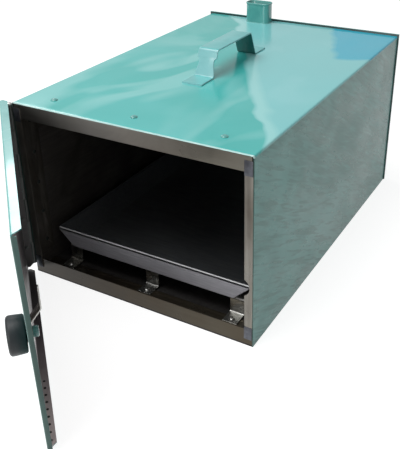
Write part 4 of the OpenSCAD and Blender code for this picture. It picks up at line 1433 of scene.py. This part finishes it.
@dataclass
class Heater:
    """The tubular element with its support, bushes, nuts, insulators and pins."""

    shop: Workshop
    left: float = 114.0
    right: float = 198.0
    z: float = 13.0
    front: float = 130.0
    rear: float = 482.2
    radius: float = 4.0

    def build(self) -> None:
        """Makes the hairpin and dresses its fittings."""
        middle, turn = (self.left + self.right) / 2, (self.right - self.left) / 2
        path = [Vector((x, y, self.z)) for x, y in
                [(self.left, self.rear), *arc((middle, self.front + turn), turn, 180, 360, 40),
                 (self.right, self.rear)]]
        tube = soften(Draft().tube(path, self.radius, 32).finish("element_tube"), 0)
        shop = self.shop
        shop.place(coat(tube, [DARK]), Body.CASING, Slot.DARK, "element_sheath")
        shop.copies(Body.CASING, Slot.BRIGHT, BRIGHT, 0.2, "element_support")
        shop.copies(Body.CASING, Slot.BRASS, BRASS, 0.3, "element_bushes", "element_nuts")
        shop.copies(Body.CASING, Slot.CERAMIC, CERAMIC, 0.5, "element_insulators")
        shop.dress(BRIGHT, "support_rivets", "element_pins")


@dataclass
class Terminals:
    """The housing on the rear panel, with the power inlet, the earth stud and the leads.

    Each lead has a start, a reach forwards from it, a drop onto its end, and an end.
    """

    shop: Workshop
    wire: float = 1.2
    leads: tuple[tuple[Triple, float, float, Triple], ...] = (
        ((111.0, 487.1, 32.36), 11, 7, (114.0, 495.2, 14.7)),
        ((125.0, 487.1, 32.36), 15, 15, (198.0, 495.2, 14.7)),
        ((118.0, 487.1, 36.36), 13, 10, (156.0, 477.7, 45.1)))

    def build(self) -> None:
        """Makes the leads and dresses the housing."""
        copies = self.shop.copies
        copies(Body.CASING, Slot.ENAMEL, TEAL, 0.5, "terminal_cover")
        copies(Body.CASING, Slot.PHENOLIC, PHENOLIC, 0.4, "inlet_body")
        copies(Body.CASING, Slot.BRIGHT, BRIGHT, 0.15, "cover_screws", "inlet_screws")
        copies(Body.CASING, Slot.BRASS, BRASS, 0.2, "inlet_contacts", "earth_stud", "earth_nut")
        draft = Draft()
        for start, pull, drop, end in self.leads:
            a, d = Vector(start), Vector(end)
            b, c = a - Vector((0, pull, 0)), d + Vector((0, 0, drop))
            path = [a * (1 - t) ** 3 + b * 3 * t * (1 - t) ** 2 + c * 3 * t * t * (1 - t)
                    + d * t ** 3 for t in (i / 40 for i in range(41))]
            draft.tube(path, self.wire, 16)
        wires = coat(soften(draft.finish("sleeved_leads"), 0, limit=60), [SLEEVE])
        self.shop.place(wires, Body.CASING, Slot.SLEEVE, "lead_wires")


@dataclass(frozen=True)
class Lamp:
    """A rectangular soft light at a place, with its size in metres and power in watts."""

    name: str
    place: Triple
    target: Triple
    size: Pair
    power: float

    def build(self) -> None:
        """Adds it to the scene."""
        data = bpy.data.lights.new(self.name, "AREA")
        data.shape, data.energy = "RECTANGLE", self.power
        data.size, data.size_y = self.size
        lamp = shown(bpy.data.objects.new(self.name, data))
        lamp.location = self.place
        aim = Vector(self.target) - Vector(self.place)
        lamp.rotation_euler = aim.to_track_quat("-Z", "Y").to_euler()


@dataclass
class Studio:
    """The floor, the light and the camera, as fitted to the photograph."""

    azimuth: float = math.radians(29.9795)
    pitch: float = math.radians(27.2714)
    roll: float = math.radians(-0.965)
    eye: Triple = (0.4381, -0.7895, 0.5316)
    focal: float = 704.2387
    centre: Pair = (217.9061, 180.3804)
    frame: tuple[int, int] = (400, 449)
    sensor: float = 36.0
    reach: float = 6.0
    grey: float = 0.35
    glow: float = 0.85
    fill: float = 0.22
    mirrored: float = 0.5
    lamps: tuple[Lamp, ...] = (
        Lamp("key", (-0.6, -0.6, 2.3), (0.0, 0.0, 0.1), (1.8, 1.8), 40.0),
        Lamp("front", (-0.3, -2.3, 0.8), (0.0, 0.0, 0.1), (1.2, 0.8), 17.0),
        Lamp("door", (-1.2, 0.665, 1.14), (0.0, -0.38, 0.24), (0.35, 0.35), 2.2))

    def build(self) -> None:
        """Sets up the floor, the world, the lamps and the camera."""
        self.floor()
        self.world()
        for lamp in self.lamps:
            lamp.build()
        self.camera()
        bpy.context.scene.view_settings.view_transform = "Standard"

    def seen(self, nodes: Nodes, mirrored: float = 1.0) -> Socket:
        """Returns 1 for rays from the camera and a given share for mirrored or refracted ones."""
        rays = nodes.add("ShaderNodeLightPath").outputs
        total = rays["Is Camera Ray"]
        for name in ("Is Glossy Ray", "Is Transmission Ray"):
            total = nodes.combine("MAXIMUM", total,
                                  nodes.combine("MULTIPLY", rays[name], mirrored))
        return total

    def floor(self) -> None:
        """Makes the pale floor, which shows white but keeps shadows."""
        mesh = bpy.data.meshes.new("floor")
        r = self.reach
        mesh.from_pydata([(-r, -r, 0), (r, -r, 0), (r, r, 0), (-r, r, 0)], [], [(0, 1, 2, 3)])
        floor = shown(bpy.data.objects.new("floor", mesh))
        material = bpy.data.materials.new("pale floor")
        material.use_nodes = True
        material.node_tree.nodes.clear()
        nodes = Nodes(material.node_tree)
        matte = nodes.add("ShaderNodeBsdfDiffuse", {"Color": (self.grey,) * 3 + (1,)})
        glow = nodes.add("ShaderNodeEmission", {
            "Strength": nodes.combine("MULTIPLY", self.seen(nodes), self.glow)})
        both = nodes.add("ShaderNodeAddShader", {0: matte.outputs[0], 1: glow.outputs[0]})
        nodes.add("ShaderNodeOutputMaterial", {"Surface": both.outputs[0]})
        mesh.materials.append(material)
        floor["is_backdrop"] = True

    def world(self) -> None:
        """Makes a white backdrop over a softer fill."""
        world = bpy.data.worlds.new("studio")
        bpy.context.scene.world = world
        world.use_nodes = True
        nodes = Nodes(world.node_tree)
        level = nodes.add("ShaderNodeMapRange", {
            "Value": self.seen(nodes, self.mirrored), "To Min": self.fill, "To Max": 1.0})
        nodes.fill(nodes.tree.nodes["Background"],
                   {"Strength": level.outputs["Result"], "Color": (1, 1, 1, 1)})

    def camera(self) -> None:
        """Makes the camera at the photograph's viewpoint."""
        a, p, r = self.azimuth, self.pitch, self.roll
        ahead = Vector((-math.sin(a) * math.cos(p), math.cos(a) * math.cos(p), -math.sin(p)))
        right = Vector((math.cos(a), math.sin(a), 0))
        up = right.cross(ahead)
        across = right * math.cos(r) + up * math.sin(r)
        above = -right * math.sin(r) + up * math.cos(r)
        data = bpy.data.cameras.new("camera")
        long_side = max(self.frame)
        data.sensor_width = self.sensor
        data.lens = self.focal * self.sensor / long_side
        data.shift_x = (self.frame[0] / 2 - self.centre[0]) / long_side
        data.shift_y = (self.centre[1] - self.frame[1] / 2) / long_side
        data.clip_start, data.clip_end = 0.01, 50
        camera = shown(bpy.data.objects.new("camera", data))
        turn = Matrix((across, above, -ahead)).transposed().to_4x4()
        camera.matrix_world = Matrix.Translation(self.eye) @ turn
        bpy.context.scene.camera = camera


def main() -> None:
    """Builds the oven's sub-assemblies and the studio."""
    logging.basicConfig(level=logging.INFO, format="%(name)s: %(message)s")
    shop = Workshop()
    for part in (Casing(shop), FrontFrame(shop), CarryHandle(shop), Vent(shop),
                 TrayAndBrackets(shop), Door(shop), Latch(shop), Heater(shop),
                 Terminals(shop)):
        part.build()
        log.info("%s built", type(part).__name__)
    Studio().build()


if __name__ == "__main__":
    main()
